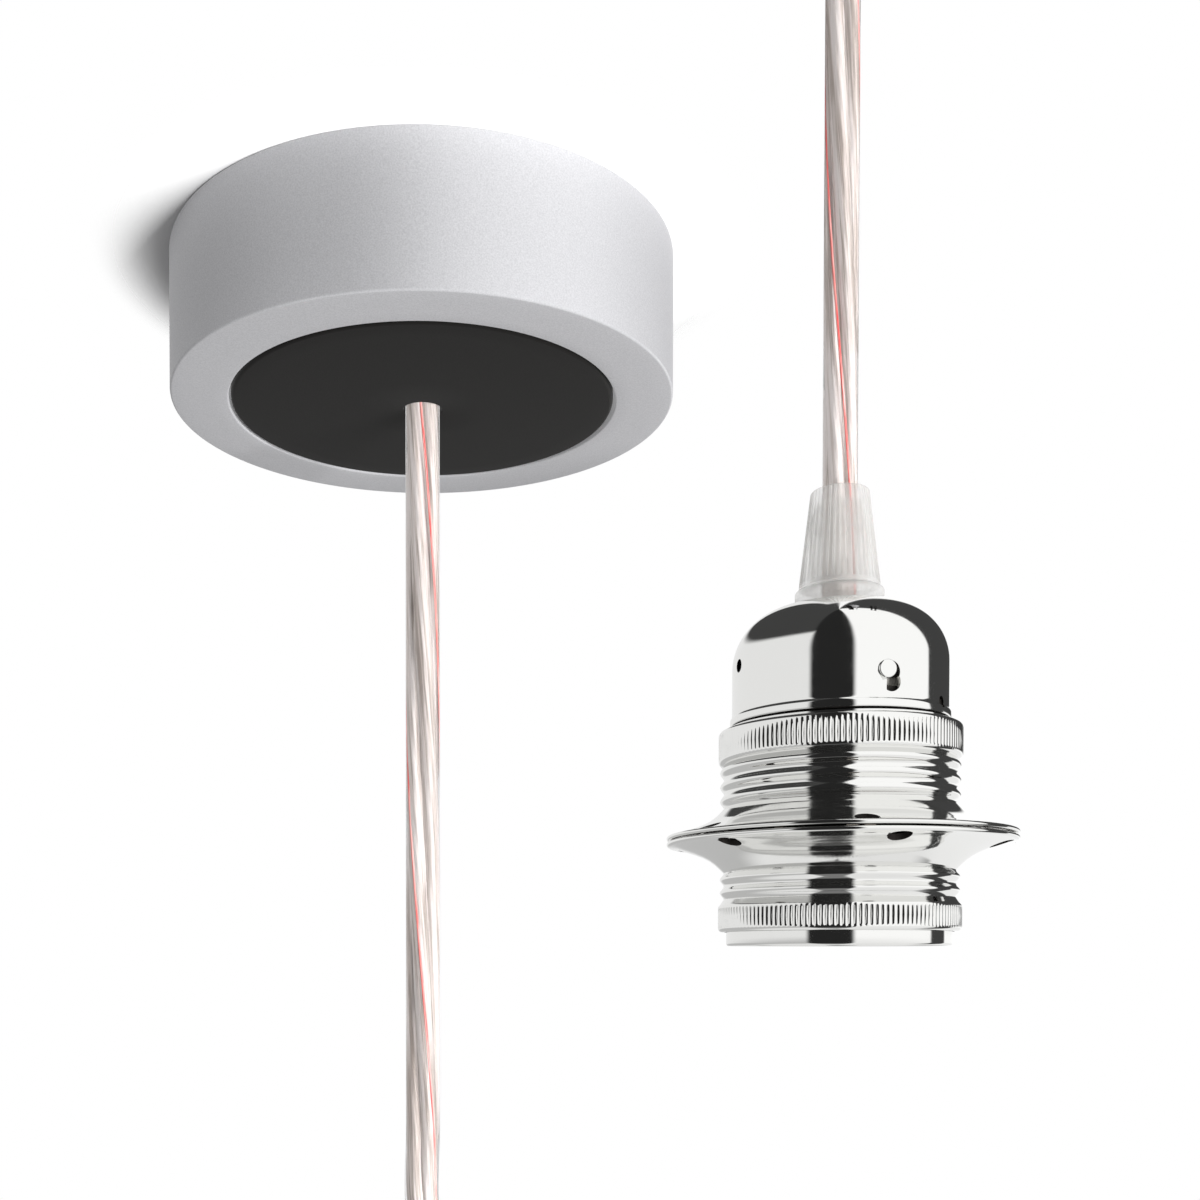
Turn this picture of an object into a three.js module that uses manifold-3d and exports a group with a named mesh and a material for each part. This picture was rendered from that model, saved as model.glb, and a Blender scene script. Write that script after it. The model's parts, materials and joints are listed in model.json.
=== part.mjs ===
// A pendant cord set: a ceiling rose, one clear sheathed cord and a metal lamp holder with two shade rings.
// Millimetres, +Z up. The origin is the middle of the rose's ceiling face, and the camera's side is -Y.
import * as THREE from 'three';
import { mergeVertices } from 'three/addons/utils/BufferGeometryUtils.js';
import Module from 'manifold-3d';

const wasm = await Module();
wasm.setup();

// Driving dimensions of the ceiling rose
const ROSE_RADIUS = 45;
const ROSE_HEIGHT = 24.5;
const ROSE_WALL = 1.5;
const ROSE_EDGE = 0.8; // rounding of the outer bottom edge
const DISC_RADIUS = 34.4;
const DISC_THICKNESS = 2;
const DISC_GAP = 0.4; // dark ring between the disc and the rim
const DISC_PROUD = 0; // how far the disc stands below the rim
const WEB_DEPTH = 4.5; // from the rim up to the web that carries the gland and the screws
const WEB_HEIGHT = ROSE_HEIGHT - WEB_DEPTH;
const WEB_THICKNESS = 1.5;
const BRACKET_WIDTH = 13;
const BRACKET_THICKNESS = 1.5;
const BRACKET_HALF_TOP = 16; // half the length that lies on the ceiling
const BRACKET_DROP = 9; // from the ceiling to the feet's lower side
const CUP_SCREW_X = 24; // place of the screws that hold the cup
const FOOT_MARGIN = 5; // foot beyond the screw
const CEILING_SCREW_X = 9; // holes for the screws into the ceiling
const BLOCK_SIZE = [24, 16, 9]; // three-pole terminal block
const BLOCK_Y = 22;
const POLE_PITCH = 7.5;

// Driving dimensions of the cord
const CORD_RADIUS = 3.1;
const CORE_RADIUS = 1.1;
const COIL_RADIUS = 32; // at the middle of the turns
const COIL_PITCH = 6.4;
const COIL_TURNS = 3.5;
const COIL_X = 108;
const COIL_Z = 95;
const CORD_SIDES = 10;
const CORD_STEP = 13; // length of one step along the tube
const TIE_WIDTH = 4;
const TIE_THICKNESS = 1.2;
const TIE_ANGLES = [235, 305]; // around the coil, in degrees from +X
const HOOK_ROD = 2; // radius
const HOOK_PLATE_RADIUS = 13;
const HOOK_PLATE_THICKNESS = 3;
const HOOK_RISE = 17; // from the coil's top to the hook's ceiling face

// Driving dimensions of the lamp holder, heights counted down from the cap's flat top
const HOLDER_X = 76;
const CAP_TOP = -60.4;
const CAP_FLAT_RADIUS = 8.3;
const CAP_SHOULDER = 10.8;
const CAP_HEIGHT = 21.4;
const CAP_BEAD = 2.7; // height of the rolled edge
const CAP_BEAD_PROUD = 0.35;
const CAP_WALL = 0.8;
const THREAD_RADIUS = 20; // outside of the sleeve
const SLEEVE_WALL = 0.9;
const SLEEVE_NECK = 4.3; // length that stands in the cap
const SLEEVE_BOTTOM = 61.5;
const LINER_WALL = 1.2;
const LINER_RECESS = 0.8; // liner's end above the sleeve's rim
const SHELL_RADIUS = 13.7; // outside of the screw shell
const SHELL_WALL = 0.4;
const SHELL_THREAD = 0.7; // depth of the rolled thread
const SHELL_PITCH = 3.6;
const SHELL_TURNS = 5;
const INSERT_TOP = 14.5;
const INSERT_HEIGHT = 12;
const SHANK_RADIUS = 5; // M10 shank of the cord grip
const GRIP_HEIGHT = 21.2;
const GRIP_COLLAR_RADIUS = 7.9;
const GRIP_COLLAR_TOP = 3.3;
const GRIP_NECK_RADIUS = 7.5;
const GRIP_NECK = 1.4; // height of the neck under the collar
const NUT_TOP_RADIUS = 5.2;
const NUT_BOTTOM_RADIUS = 7.2;
const NUT_BAND = 1.8; // smooth band at the nut's lower end
const NUT_RIBS = 38;
const NUT_RIB_DEPTH = 0.3;
const RING_WALL = 0.9;
const RING_BEAD = 21.5; // radius of the knurled collars
const RING_THREAD = 21.05; // radius of the rolled thread's crests
const RING_VALLEY = 20.75;
const FLANGE_RADIUS = 31;
const FLANGE_Z = 42.15; // joint of the two flanges
const UPPER_RING_HEIGHT = 20; // from its top to the joint
const LOWER_RING_HEIGHT = 16.8;
const VENT_RADIUS = 2;
const VENT_CIRCLE = 28;
const VENTS = 6;
const UPPER_VENT_TURN = -6; // degrees from the camera's side
const LOWER_VENT_TURN = 5;
const TAB_TURN = 9; // degrees from the camera's side
const TAB_BUTTON_RADIUS = 1.6;
const TAB_DEPTH = 14.8; // button below the cap's top
const PEEP_TURN = -81; // the small dark hole
const PEEP_DEPTH = 11;
const PEEP_RADIUS = 1.2;

// General values
const CLEARANCE = 0.3; // between pieces that touch on the real object
const ROUND = 36; // segments of the large turned pieces
const SMALL_ROUND = 18;
const WIRE_SIDES = 6;
const WIRE_STEPS = 9;
const SCREW_ROUND = 10; // segments of screws and small holes

// Shapes

function signedVolume(positions, index) {
  let volume = 0;
  const [a, b, c] = [new THREE.Vector3(), new THREE.Vector3(), new THREE.Vector3()];
  for (let i = 0; i < index.length; i += 3) {
    a.fromArray(positions, 3 * index[i]);
    b.fromArray(positions, 3 * index[i + 1]);
    c.fromArray(positions, 3 * index[i + 2]);
    volume += a.dot(b.cross(c)) / 6;
  }
  return volume;
}

// One closed body: shared vertices merged, collapsed faces dropped, and faces pointing out.
function closed(geometry) {
  const bare = geometry.clone();
  bare.deleteAttribute('normal');
  bare.deleteAttribute('uv');
  const merged = mergeVertices(bare, 1e-4);
  const positions = merged.attributes.position.array;
  const source = merged.index.array;
  const index = [];
  for (let i = 0; i < source.length; i += 3) {
    const [a, b, c] = [source[i], source[i + 1], source[i + 2]];
    if (a !== b && b !== c && a !== c) index.push(a, b, c);
  }
  if (signedVolume(positions, index) < 0) {
    for (let i = 0; i < index.length; i += 3) [index[i + 1], index[i + 2]] = [index[i + 2], index[i + 1]];
  }
  const result = new THREE.BufferGeometry();
  result.setAttribute('position', new THREE.BufferAttribute(positions, 3));
  result.setIndex(index);
  return result;
}

function toSolid(geometry) {
  const body = closed(geometry);
  const mesh = new wasm.Mesh({
    numProp: 3,
    vertProperties: new Float32Array(body.attributes.position.array),
    triVerts: new Uint32Array(body.index.array),
  });
  return new wasm.Manifold(mesh);
}

function toGeometry(solid) {
  const mesh = solid.getMesh();
  const result = new THREE.BufferGeometry();
  result.setAttribute('position', new THREE.BufferAttribute(new Float32Array(mesh.vertProperties), 3));
  result.setIndex(new THREE.BufferAttribute(new Uint32Array(mesh.triVerts), 1));
  return result;
}

function cut(geometry, ...tools) {
  return toGeometry(tools.reduce((solid, tool) => solid.subtract(toSolid(tool)), toSolid(geometry)));
}

function join(geometry, ...others) {
  return toGeometry(others.reduce((solid, other) => solid.add(toSolid(other)), toSolid(geometry)));
}

// Points of an arc, angles in degrees, as [radius, height] pairs.
function arc(r, z, radius, from, to, steps) {
  return Array.from({ length: steps + 1 }, (_, i) => {
    const angle = THREE.MathUtils.degToRad(from + ((to - from) * i) / steps);
    return [r + radius * Math.cos(angle), z + radius * Math.sin(angle)];
  });
}

// A turned piece around Z. The profile closes on itself unless both its ends lie on the axis.
function turned(profile, segments = ROUND) {
  const points = profile.map(([r, z]) => new THREE.Vector2(Math.max(r, 0), z));
  const [first, last] = [points[0], points[points.length - 1]];
  if (first.x > 0 || last.x > 0) points.push(first.clone());
  return closed(new THREE.LatheGeometry(points, segments).rotateX(Math.PI / 2));
}

function cylinder(radius, bottom, top, segments = SMALL_ROUND) {
  return turned([[0, bottom], [radius, bottom], [radius, top], [0, top]], segments);
}

function pipe(outer, inner, bottom, top, segments = ROUND) {
  return turned([[inner, bottom], [outer, bottom], [outer, top], [inner, top]], segments);
}

function box(x, y, z, centre = [0, 0, 0]) {
  return new THREE.BoxGeometry(x, y, z).translate(...centre);
}

function prism(shape, depth) {
  return new THREE.ExtrudeGeometry(shape, { depth, bevelEnabled: false, curveSegments: 6 });
}

function polygon(points) {
  return new THREE.Shape(points.map(([x, y]) => new THREE.Vector2(x, y)));
}

// A cylinder along X from the axis outwards, turned around Z, for holes in round walls.
function radialPin(radius, from, to, z, degreesFromCamera) {
  const pin = cylinder(radius, from, to, SCREW_ROUND).rotateY(Math.PI / 2);
  return pin.rotateZ(THREE.MathUtils.degToRad(degreesFromCamera - 90)).translate(0, 0, z);
}

function tube(points, radius, sides, steps) {
  const path = new THREE.CatmullRomCurve3(points.map((p) => new THREE.Vector3(...p)), false, 'centripetal');
  const section = new THREE.Shape();
  for (let i = 0; i < sides; i += 1) {
    const angle = (2 * Math.PI * i) / sides;
    const [x, y] = [radius * Math.cos(angle), radius * Math.sin(angle)];
    if (i === 0) section.moveTo(x, y);
    else section.lineTo(x, y);
  }
  section.closePath();
  return new THREE.ExtrudeGeometry(section, { steps, extrudePath: path });
}

// A screw with its tip at the origin and its head upwards, slotted.
function screw(headRadius, headHeight, shankRadius, shankLength) {
  const body = turned(
    [
      [0, 0],
      [shankRadius * 0.6, 0],
      [shankRadius, shankRadius * 0.5],
      [shankRadius, shankLength],
      [headRadius, shankLength],
      [headRadius, shankLength + headHeight * 0.6],
      [headRadius * 0.7, shankLength + headHeight],
      [0, shankLength + headHeight],
    ],
    SCREW_ROUND,
  );
  const slotDepth = headHeight * 0.45;
  const slotZ = shankLength + headHeight - slotDepth / 2 + 0.01;
  const slot = box(headRadius * 3, headRadius * 0.3, slotDepth, [0, 0, slotZ]);
  return cut(body, slot);
}

function hexagon(acrossFlats, thickness, bore) {
  const corner = acrossFlats / Math.sqrt(3);
  const angles = [0, 60, 120, 180, 240, 300].map(THREE.MathUtils.degToRad);
  const shape = polygon(angles.map((angle) => [corner * Math.cos(angle), corner * Math.sin(angle)]));
  const hole = new THREE.Path();
  hole.absarc(0, 0, bore, 0, 2 * Math.PI, true);
  shape.holes.push(hole);
  return prism(shape, thickness);
}

// Materials

function material(color, roughness, metalness) {
  return new THREE.MeshStandardMaterial({ color, roughness, metalness });
}

const SILVER_PAINT = material('#c2c2c6', 0.5, 0.6);
const BLACK_PLASTIC = material('#353433', 0.4, 0);
const CHROME = material('#d8d9dc', 0.08, 1);
const STEEL = material('#a9acb0', 0.35, 1);
const BRASS = material('#c9a95a', 0.3, 1);
const CLEAR_PVC = material('#d9d2cb', 0.3, 0);
const FROSTED = material('#e4e6e8', 0.5, 0);
const PORCELAIN = material('#f2efe8', 0.25, 0);
const LINER_CARD = material('#b5b8a0', 0.6, 0);
const WHITE_PLASTIC = material('#eeeeec', 0.45, 0);

const set = new THREE.Group();

function add(group, name, geometry, finish, position = [0, 0, 0], rotation = [0, 0, 0]) {
  const mesh = new THREE.Mesh(closed(geometry), finish);
  mesh.name = name;
  mesh.position.set(...position);
  mesh.rotation.set(...rotation);
  group.add(mesh);
  return mesh;
}

// Ceiling rose: z 0 is the ceiling

const rose = new THREE.Group();
set.add(rose);

const RECESS_RADIUS = DISC_RADIUS + DISC_GAP;
const WEB_TOP = -(WEB_HEIGHT - WEB_THICKNESS);
const WEB_BOTTOM = -WEB_HEIGHT;
const BORE = CORD_RADIUS + CLEARANCE; // what the cord passes through
const SHANK_HOLE = SHANK_RADIUS + CLEARANCE;
const SCREW_HOLE = 2.1;
const CUP_SCREW_SHANK = SCREW_HOLE - CLEARANCE;

function roseCup() {
  const body = turned([
    [ROSE_RADIUS, 0],
    ...arc(ROSE_RADIUS - ROSE_EDGE, -ROSE_HEIGHT + ROSE_EDGE, ROSE_EDGE, 0, -90, 4),
    [RECESS_RADIUS, -ROSE_HEIGHT],
    [RECESS_RADIUS, WEB_BOTTOM],
    [SHANK_HOLE, WEB_BOTTOM],
    [SHANK_HOLE, WEB_TOP],
    [RECESS_RADIUS + ROSE_WALL, WEB_TOP],
    [RECESS_RADIUS + ROSE_WALL, -ROSE_HEIGHT + ROSE_WALL],
    [ROSE_RADIUS - ROSE_WALL, -ROSE_HEIGHT + ROSE_WALL],
    [ROSE_RADIUS - ROSE_WALL, 0],
  ]);
  const holes = [-1, 1].map((side) =>
    cylinder(SCREW_HOLE, WEB_BOTTOM - 1, WEB_TOP + 1, SCREW_ROUND).translate(side * CUP_SCREW_X, 0, 0),
  );
  return cut(body, ...holes);
}
add(rose, 'rose_cup', roseCup(), SILVER_PAINT);

const DISC_BOTTOM = -ROSE_HEIGHT - DISC_PROUD;
const DISC_TOP = DISC_BOTTOM + DISC_THICKNESS;
const DISC_EDGE = 0.7;
const PEG_RADIUS = 2;
const PEG_CIRCLE = 28;

function coverDisc() {
  const plate = turned([
    [BORE, DISC_BOTTOM],
    ...arc(DISC_RADIUS - DISC_EDGE, DISC_BOTTOM + DISC_EDGE, DISC_EDGE, -90, 0, 3),
    [DISC_RADIUS, DISC_TOP],
    [BORE, DISC_TOP],
  ]);
  const pegs = [30, 150, 270].map((degrees) => {
    const angle = THREE.MathUtils.degToRad(degrees);
    const peg = cylinder(PEG_RADIUS, DISC_TOP - 0.5, WEB_BOTTOM - CLEARANCE, SCREW_ROUND);
    return peg.translate(PEG_CIRCLE * Math.cos(angle), PEG_CIRCLE * Math.sin(angle), 0);
  });
  return join(plate, ...pegs);
}
add(rose, 'rose_cover_disc', coverDisc(), BLACK_PLASTIC);

// A strip of flat steel bent into a low hat: its middle lies on the ceiling,
// and its feet carry the cup's screws.
function ceilingBracket() {
  const outer = CUP_SCREW_X + FOOT_MARGIN;
  const [top, foot] = [-CLEARANCE, -BRACKET_DROP];
  const t = BRACKET_THICKNESS;
  const half = [
    [outer, foot],
    [BRACKET_HALF_TOP, foot],
    [BRACKET_HALF_TOP, top - t],
  ];
  const back = [
    [BRACKET_HALF_TOP + t, top],
    [BRACKET_HALF_TOP + t, foot + t],
    [outer, foot + t],
  ];
  const mirror = ([x, z]) => [-x, z];
  const outline = [...half, ...half.map(mirror).reverse(), ...back.map(mirror).reverse(), ...back];
  const strip = prism(polygon(outline), BRACKET_WIDTH).rotateX(Math.PI / 2);
  strip.translate(0, BRACKET_WIDTH / 2, 0);
  const holes = [-1, 1].flatMap((side) => [
    cylinder(SCREW_HOLE, foot - 1, foot + t + 1, SCREW_ROUND).translate(side * CUP_SCREW_X, 0, 0),
    cylinder(SCREW_HOLE, top - t - 1, top + 1, SCREW_ROUND).translate(side * CEILING_SCREW_X, 0, 0),
  ]);
  return cut(strip, ...holes);
}
add(rose, 'ceiling_bracket', ceilingBracket(), STEEL);

const HEAD_RADIUS = 3.6;
const HEAD_HEIGHT = 2;
const CUP_SCREW_LENGTH = WEB_HEIGHT - BRACKET_DROP + BRACKET_THICKNESS + 2;
[-1, 1].forEach((side, i) => {
  const cupScrew = screw(HEAD_RADIUS, HEAD_HEIGHT, CUP_SCREW_SHANK, CUP_SCREW_LENGTH);
  const cupScrewTip = WEB_BOTTOM - CLEARANCE + CUP_SCREW_LENGTH;
  add(rose, `cup_screw_${i + 1}`, cupScrew, STEEL, [side * CUP_SCREW_X, 0, cupScrewTip], [Math.PI, 0, 0]);
});

// Cord gland: a threaded body through the web, a nut above it and a plastic screw that clamps the cord
const GLAND_FLANGE_RADIUS = 8;
const GLAND_FLANGE = 1.8;
const GLAND_TOP = WEB_TOP + 8;
const CLAMP_SCREW_RADIUS = 1.5;
const CLAMP_Z = GLAND_TOP - 2.6;
const NUT_ACROSS = 14;
const NUT_THICKNESS = 2.5;

function glandBody() {
  const flangeTop = WEB_BOTTOM - CLEARANCE;
  const body = turned(
    [
      [BORE, flangeTop - GLAND_FLANGE],
      [GLAND_FLANGE_RADIUS, flangeTop - GLAND_FLANGE],
      [GLAND_FLANGE_RADIUS, flangeTop],
      [SHANK_RADIUS, flangeTop],
      [SHANK_RADIUS, GLAND_TOP],
      [BORE, GLAND_TOP],
    ],
    SMALL_ROUND,
  );
  return cut(body, radialPin(CLAMP_SCREW_RADIUS + CLEARANCE, 0, 2 * SHANK_RADIUS, CLAMP_Z, 0));
}
add(rose, 'rose_gland_body', glandBody(), WHITE_PLASTIC);
const glandNut = hexagon(NUT_ACROSS, NUT_THICKNESS, SHANK_HOLE);
add(rose, 'rose_gland_nut', glandNut, STEEL, [0, 0, WEB_TOP + CLEARANCE]);
const clampScrew = screw(2.4, 1.8, CLAMP_SCREW_RADIUS, 3);
const clampPlace = [0, -CORD_RADIUS - CLEARANCE, CLAMP_Z];
add(rose, 'rose_clamp_screw', clampScrew, WHITE_PLASTIC, clampPlace, [Math.PI / 2, 0, 0]);

// Three-pole terminal block on the web, wires in from the camera's side
const POLES = [-1, 0, 1];
const BLOCK_BASE = WEB_TOP + CLEARANCE;
const TUBE_RADIUS = 2.2;
const TUBE_BORE = 1.4;
const TUBE_Z = BLOCK_BASE + 4;
const BLOCK_SCREW_RADIUS = 1.2;
const BLOCK_SCREW_Y = 5;

function terminalBlock() {
  const [x, y, z] = BLOCK_SIZE;
  const body = box(x, y, z, [0, BLOCK_Y, BLOCK_BASE + z / 2]);
  const tools = POLES.flatMap((pole) => {
    const bore = cylinder(TUBE_RADIUS + CLEARANCE, -y, y, 12).rotateX(Math.PI / 2);
    bore.translate(pole * POLE_PITCH, BLOCK_Y, TUBE_Z);
    const wells = [-1, 1].map((side) =>
      cylinder(BLOCK_SCREW_RADIUS + CLEARANCE + 0.5, TUBE_Z, BLOCK_BASE + z + 1, SCREW_ROUND).translate(
        pole * POLE_PITCH,
        BLOCK_Y + side * BLOCK_SCREW_Y,
        0,
      ),
    );
    return [bore, ...wells];
  });
  return cut(body, ...tools);
}
add(rose, 'terminal_block', terminalBlock(), WHITE_PLASTIC);

POLES.forEach((pole, i) => {
  const length = BLOCK_SIZE[1] - 1;
  const x = pole * POLE_PITCH;
  const wall = pipe(TUBE_RADIUS, TUBE_BORE, -length / 2, length / 2, 12).rotateX(Math.PI / 2);
  const holes = [-1, 1].map((side) =>
    cylinder(BLOCK_SCREW_RADIUS + CLEARANCE, 0, 2 * TUBE_RADIUS, 8).translate(0, side * BLOCK_SCREW_Y, 0),
  );
  add(rose, `terminal_tube_${i + 1}`, cut(wall, ...holes), BRASS, [x, BLOCK_Y, TUBE_Z]);
  [-1, 1].forEach((side, j) => {
    const grub = screw(BLOCK_SCREW_RADIUS + 0.2, 1, BLOCK_SCREW_RADIUS, TUBE_RADIUS + 1.2);
    const place = [x, BLOCK_Y + side * BLOCK_SCREW_Y, TUBE_Z + TUBE_BORE - 0.6];
    add(rose, `terminal_screw_${2 * i + j + 1}`, grub, STEEL, place);
  });
});

// The cores leave the cord's cut end above the gland and go to the block's front mouths.
const CORD_TOP = GLAND_TOP + 0.5;
const CORE_OFFSET = 1.5;
const coreNames = ['live', 'neutral', 'earth'];
const coreTurn = [210, 90, 330];
POLES.forEach((pole, i) => {
  const angle = THREE.MathUtils.degToRad(coreTurn[i]);
  const [dx, dy] = [CORE_OFFSET * Math.cos(angle), CORE_OFFSET * Math.sin(angle)];
  const front = BLOCK_Y - BLOCK_SIZE[1] / 2;
  const end = front + 1.4;
  const route = [
    [dx, dy, CORD_TOP + CLEARANCE],
    [dx, dy, CORD_TOP + 1.4],
    [dx * 1.6 + pole, dy + 3, CORD_TOP + 2.6],
    [pole * (POLE_PITCH - 1), front - 4, TUBE_Z + 1.2],
    [pole * POLE_PITCH, front - 1, TUBE_Z],
    [pole * POLE_PITCH, end, TUBE_Z],
  ];
  add(rose, `rose_core_${coreNames[i]}`, tube(route, CORE_RADIUS, WIRE_SIDES, WIRE_STEPS), CLEAR_PVC);
});

// The cord, from inside the rose's gland down, round and up to the coil
const cord = new THREE.Group();
set.add(cord);

const LOOP_TOP = -172;
const LOOP_RADIUS = (COIL_X + COIL_RADIUS) / 2;
const RISER_Y = -COIL_TURNS * COIL_PITCH;
const coilInner = COIL_RADIUS - CORD_RADIUS;
const coilOuter = COIL_RADIUS + CORD_RADIUS;
// Height where a straight stretch first meets the coil's outside.
const COIL_MEET = COIL_Z - Math.sqrt(coilOuter ** 2 - coilInner ** 2) - 0.4;

// Chosen by hand: straight down, a hanging half round, and straight up outside it.
const DROP_ROUTE = [
  [0, 0, CORD_TOP],
  [0, 0, -40],
  [0, 0, -70],
  [0, 0, -100],
  [0, 0, -130],
  [0, 0, -155],
  [0, 0, LOOP_TOP],
  [5.3, -0.8, -198.8],
  [20.5, -3.3, -221.5],
  [43.2, -7, -236.7],
  [70, -11.2, -242],
  [96.8, -15.4, -236.7],
  [119.5, -19.1, -221.5],
  [134.7, -21.6, -198.8],
  [2 * LOOP_RADIUS, RISER_Y, LOOP_TOP],
  [2 * LOOP_RADIUS, RISER_Y, -150],
  [2 * LOOP_RADIUS, RISER_Y, -110],
  [2 * LOOP_RADIUS, RISER_Y, -70],
  [2 * LOOP_RADIUS, RISER_Y, -30],
  [2 * LOOP_RADIUS, RISER_Y, 10],
  [2 * LOOP_RADIUS, RISER_Y, 40],
  [2 * LOOP_RADIUS, RISER_Y, COIL_MEET],
];
const CORD_BOTTOM = CAP_TOP - 8;
const TAIL_ROUTE = [
  [HOLDER_X, 0, COIL_MEET],
  [HOLDER_X, 0, 40],
  [HOLDER_X, 0, 10],
  [HOLDER_X, 0, -20],
  [HOLDER_X, 0, CAP_TOP + GRIP_HEIGHT],
  [HOLDER_X, 0, CORD_BOTTOM],
];

function routeSteps(route) {
  const path = new THREE.CatmullRomCurve3(route.map((p) => new THREE.Vector3(...p)));
  return Math.ceil(path.getLength() / CORD_STEP);
}
add(cord, 'cord_drop', tube(DROP_ROUTE, CORD_RADIUS, CORD_SIDES, routeSteps(DROP_ROUTE)), CLEAR_PVC);
add(cord, 'cord_tail', tube(TAIL_ROUTE, CORD_RADIUS, CORD_SIDES, routeSteps(TAIL_ROUTE)), CLEAR_PVC);

const COIL_WIDTH = COIL_TURNS * COIL_PITCH + 2 * CORD_RADIUS;
const COIL_MIDDLE = [COIL_X, RISER_Y / 2, COIL_Z];
const COIL_BEND = 1.5; // rounding of the ring's section

function coilRing() {
  const half = COIL_WIDTH / 2;
  const b = COIL_BEND;
  const ring = turned(
    [
      ...arc(coilInner + b, -half + b, b, 180, 270, 1),
      ...arc(coilOuter - b, -half + b, b, 270, 360, 1),
      ...arc(coilOuter - b, half - b, b, 0, 90, 1),
      ...arc(coilInner + b, half - b, b, 90, 180, 1),
    ],
    ROUND,
  );
  return ring.rotateX(Math.PI / 2);
}
add(cord, 'cord_coil', coilRing(), CLEAR_PVC, COIL_MIDDLE);

// Ties: flat straps closed around the coil's section
function coilTie() {
  const [w, h] = [CORD_RADIUS + CLEARANCE, COIL_WIDTH / 2 + CLEARANCE];
  const t = TIE_THICKNESS;
  const outline = polygon([[-w - t, -h - t], [w + t, -h - t], [w + t, h + t], [-w - t, h + t]]);
  const hole = [[-w, -h], [-w, h], [w, h], [w, -h]];
  outline.holes.push(new THREE.Path(hole.map(([x, y]) => new THREE.Vector2(x, y))));
  return prism(outline, TIE_WIDTH).translate(COIL_RADIUS, 0, -TIE_WIDTH / 2);
}
TIE_ANGLES.forEach((degrees, i) => {
  const spin = new THREE.Group();
  spin.position.set(...COIL_MIDDLE);
  spin.rotation.y = -THREE.MathUtils.degToRad(degrees);
  cord.add(spin);
  add(spin, `coil_tie_${i + 1}`, coilTie(), BLACK_PLASTIC);
});

// Hook in the ceiling above the holder, through the coil's middle
function ceilingHook() {
  const seat = coilInner - CLEARANCE - HOOK_ROD;
  const half = COIL_WIDTH / 2 + HOOK_ROD + 1.5;
  const top = coilOuter + HOOK_RISE;
  const rod = tube(
    [
      [0, half, top - 1],
      [0, half, coilOuter + 2],
      [0, half, seat + 5],
      [0, half - 1.5, seat + 1.5],
      [0, half - 5, seat],
      [0, 0, seat],
      [0, 5 - half, seat],
      [0, 1.5 - half, seat + 1.5],
      [0, -half, seat + 5],
      [0, -half, coilOuter + 1],
    ],
    HOOK_ROD,
    8,
    26,
  );
  const plate = cylinder(HOOK_PLATE_RADIUS, top - HOOK_PLATE_THICKNESS, top).translate(0, half, 0);
  return join(rod, plate);
}
add(cord, 'ceiling_hook', ceilingHook(), SILVER_PAINT, COIL_MIDDLE);

// Lamp holder: its own group stands on the cord's line with z 0 at the cap's flat top
const holder = new THREE.Group();
holder.position.set(HOLDER_X, 0, CAP_TOP);
set.add(holder);

const capRadius = CAP_FLAT_RADIUS + CAP_SHOULDER;

function capProfile() {
  const beadTop = CAP_BEAD - CAP_HEIGHT;
  const beadRadius = capRadius + CAP_BEAD_PROUD;
  return [
    [SHANK_HOLE, 0],
    ...arc(CAP_FLAT_RADIUS, -CAP_SHOULDER, CAP_SHOULDER, 90, 0, 7),
    [capRadius, beadTop],
    [beadRadius, beadTop - 0.4],
    [beadRadius, 0.4 - CAP_HEIGHT],
    [capRadius, -CAP_HEIGHT],
    [capRadius - CAP_WALL, -CAP_HEIGHT],
    ...arc(CAP_FLAT_RADIUS, -CAP_SHOULDER, CAP_SHOULDER - CAP_WALL, 0, 90, 4),
    [SHANK_HOLE, -CAP_WALL],
  ];
}

const KEYHOLE_WIDTH = 1.6;
function cap() {
  const keyhole = box(8, KEYHOLE_WIDTH, 3.4, [capRadius, 0, -TAB_DEPTH - 2.4]);
  keyhole.rotateZ(THREE.MathUtils.degToRad(TAB_TURN - 90));
  return cut(
    turned(capProfile()),
    radialPin(TAB_BUTTON_RADIUS + CLEARANCE, 10, 30, -TAB_DEPTH, TAB_TURN),
    keyhole,
    radialPin(PEEP_RADIUS, 10, 30, -PEEP_DEPTH, PEEP_TURN),
  );
}
add(holder, 'holder_cap', cap(), CHROME);

// Spring tab behind the cap's wall, its button stands in the hole
const TAB_THICKNESS = 0.5;
const TAB_WIDTH = 5;
const TAB_HEIGHT = 5.2;
function lockTab() {
  const wallInside = capRadius - CAP_WALL - CLEARANCE;
  const stripPlace = [wallInside - TAB_THICKNESS - 0.05, 0, -TAB_DEPTH + 0.4];
  const strip = box(TAB_THICKNESS, TAB_WIDTH, TAB_HEIGHT, stripPlace);
  const button = cylinder(TAB_BUTTON_RADIUS, wallInside - 1, capRadius + 0.5, 16).rotateY(Math.PI / 2);
  return join(strip, button.translate(0, 0, -TAB_DEPTH));
}
add(holder, 'cap_lock_tab', lockTab(), CHROME, [0, 0, 0], [0, 0, THREE.MathUtils.degToRad(TAB_TURN - 90)]);

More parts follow.
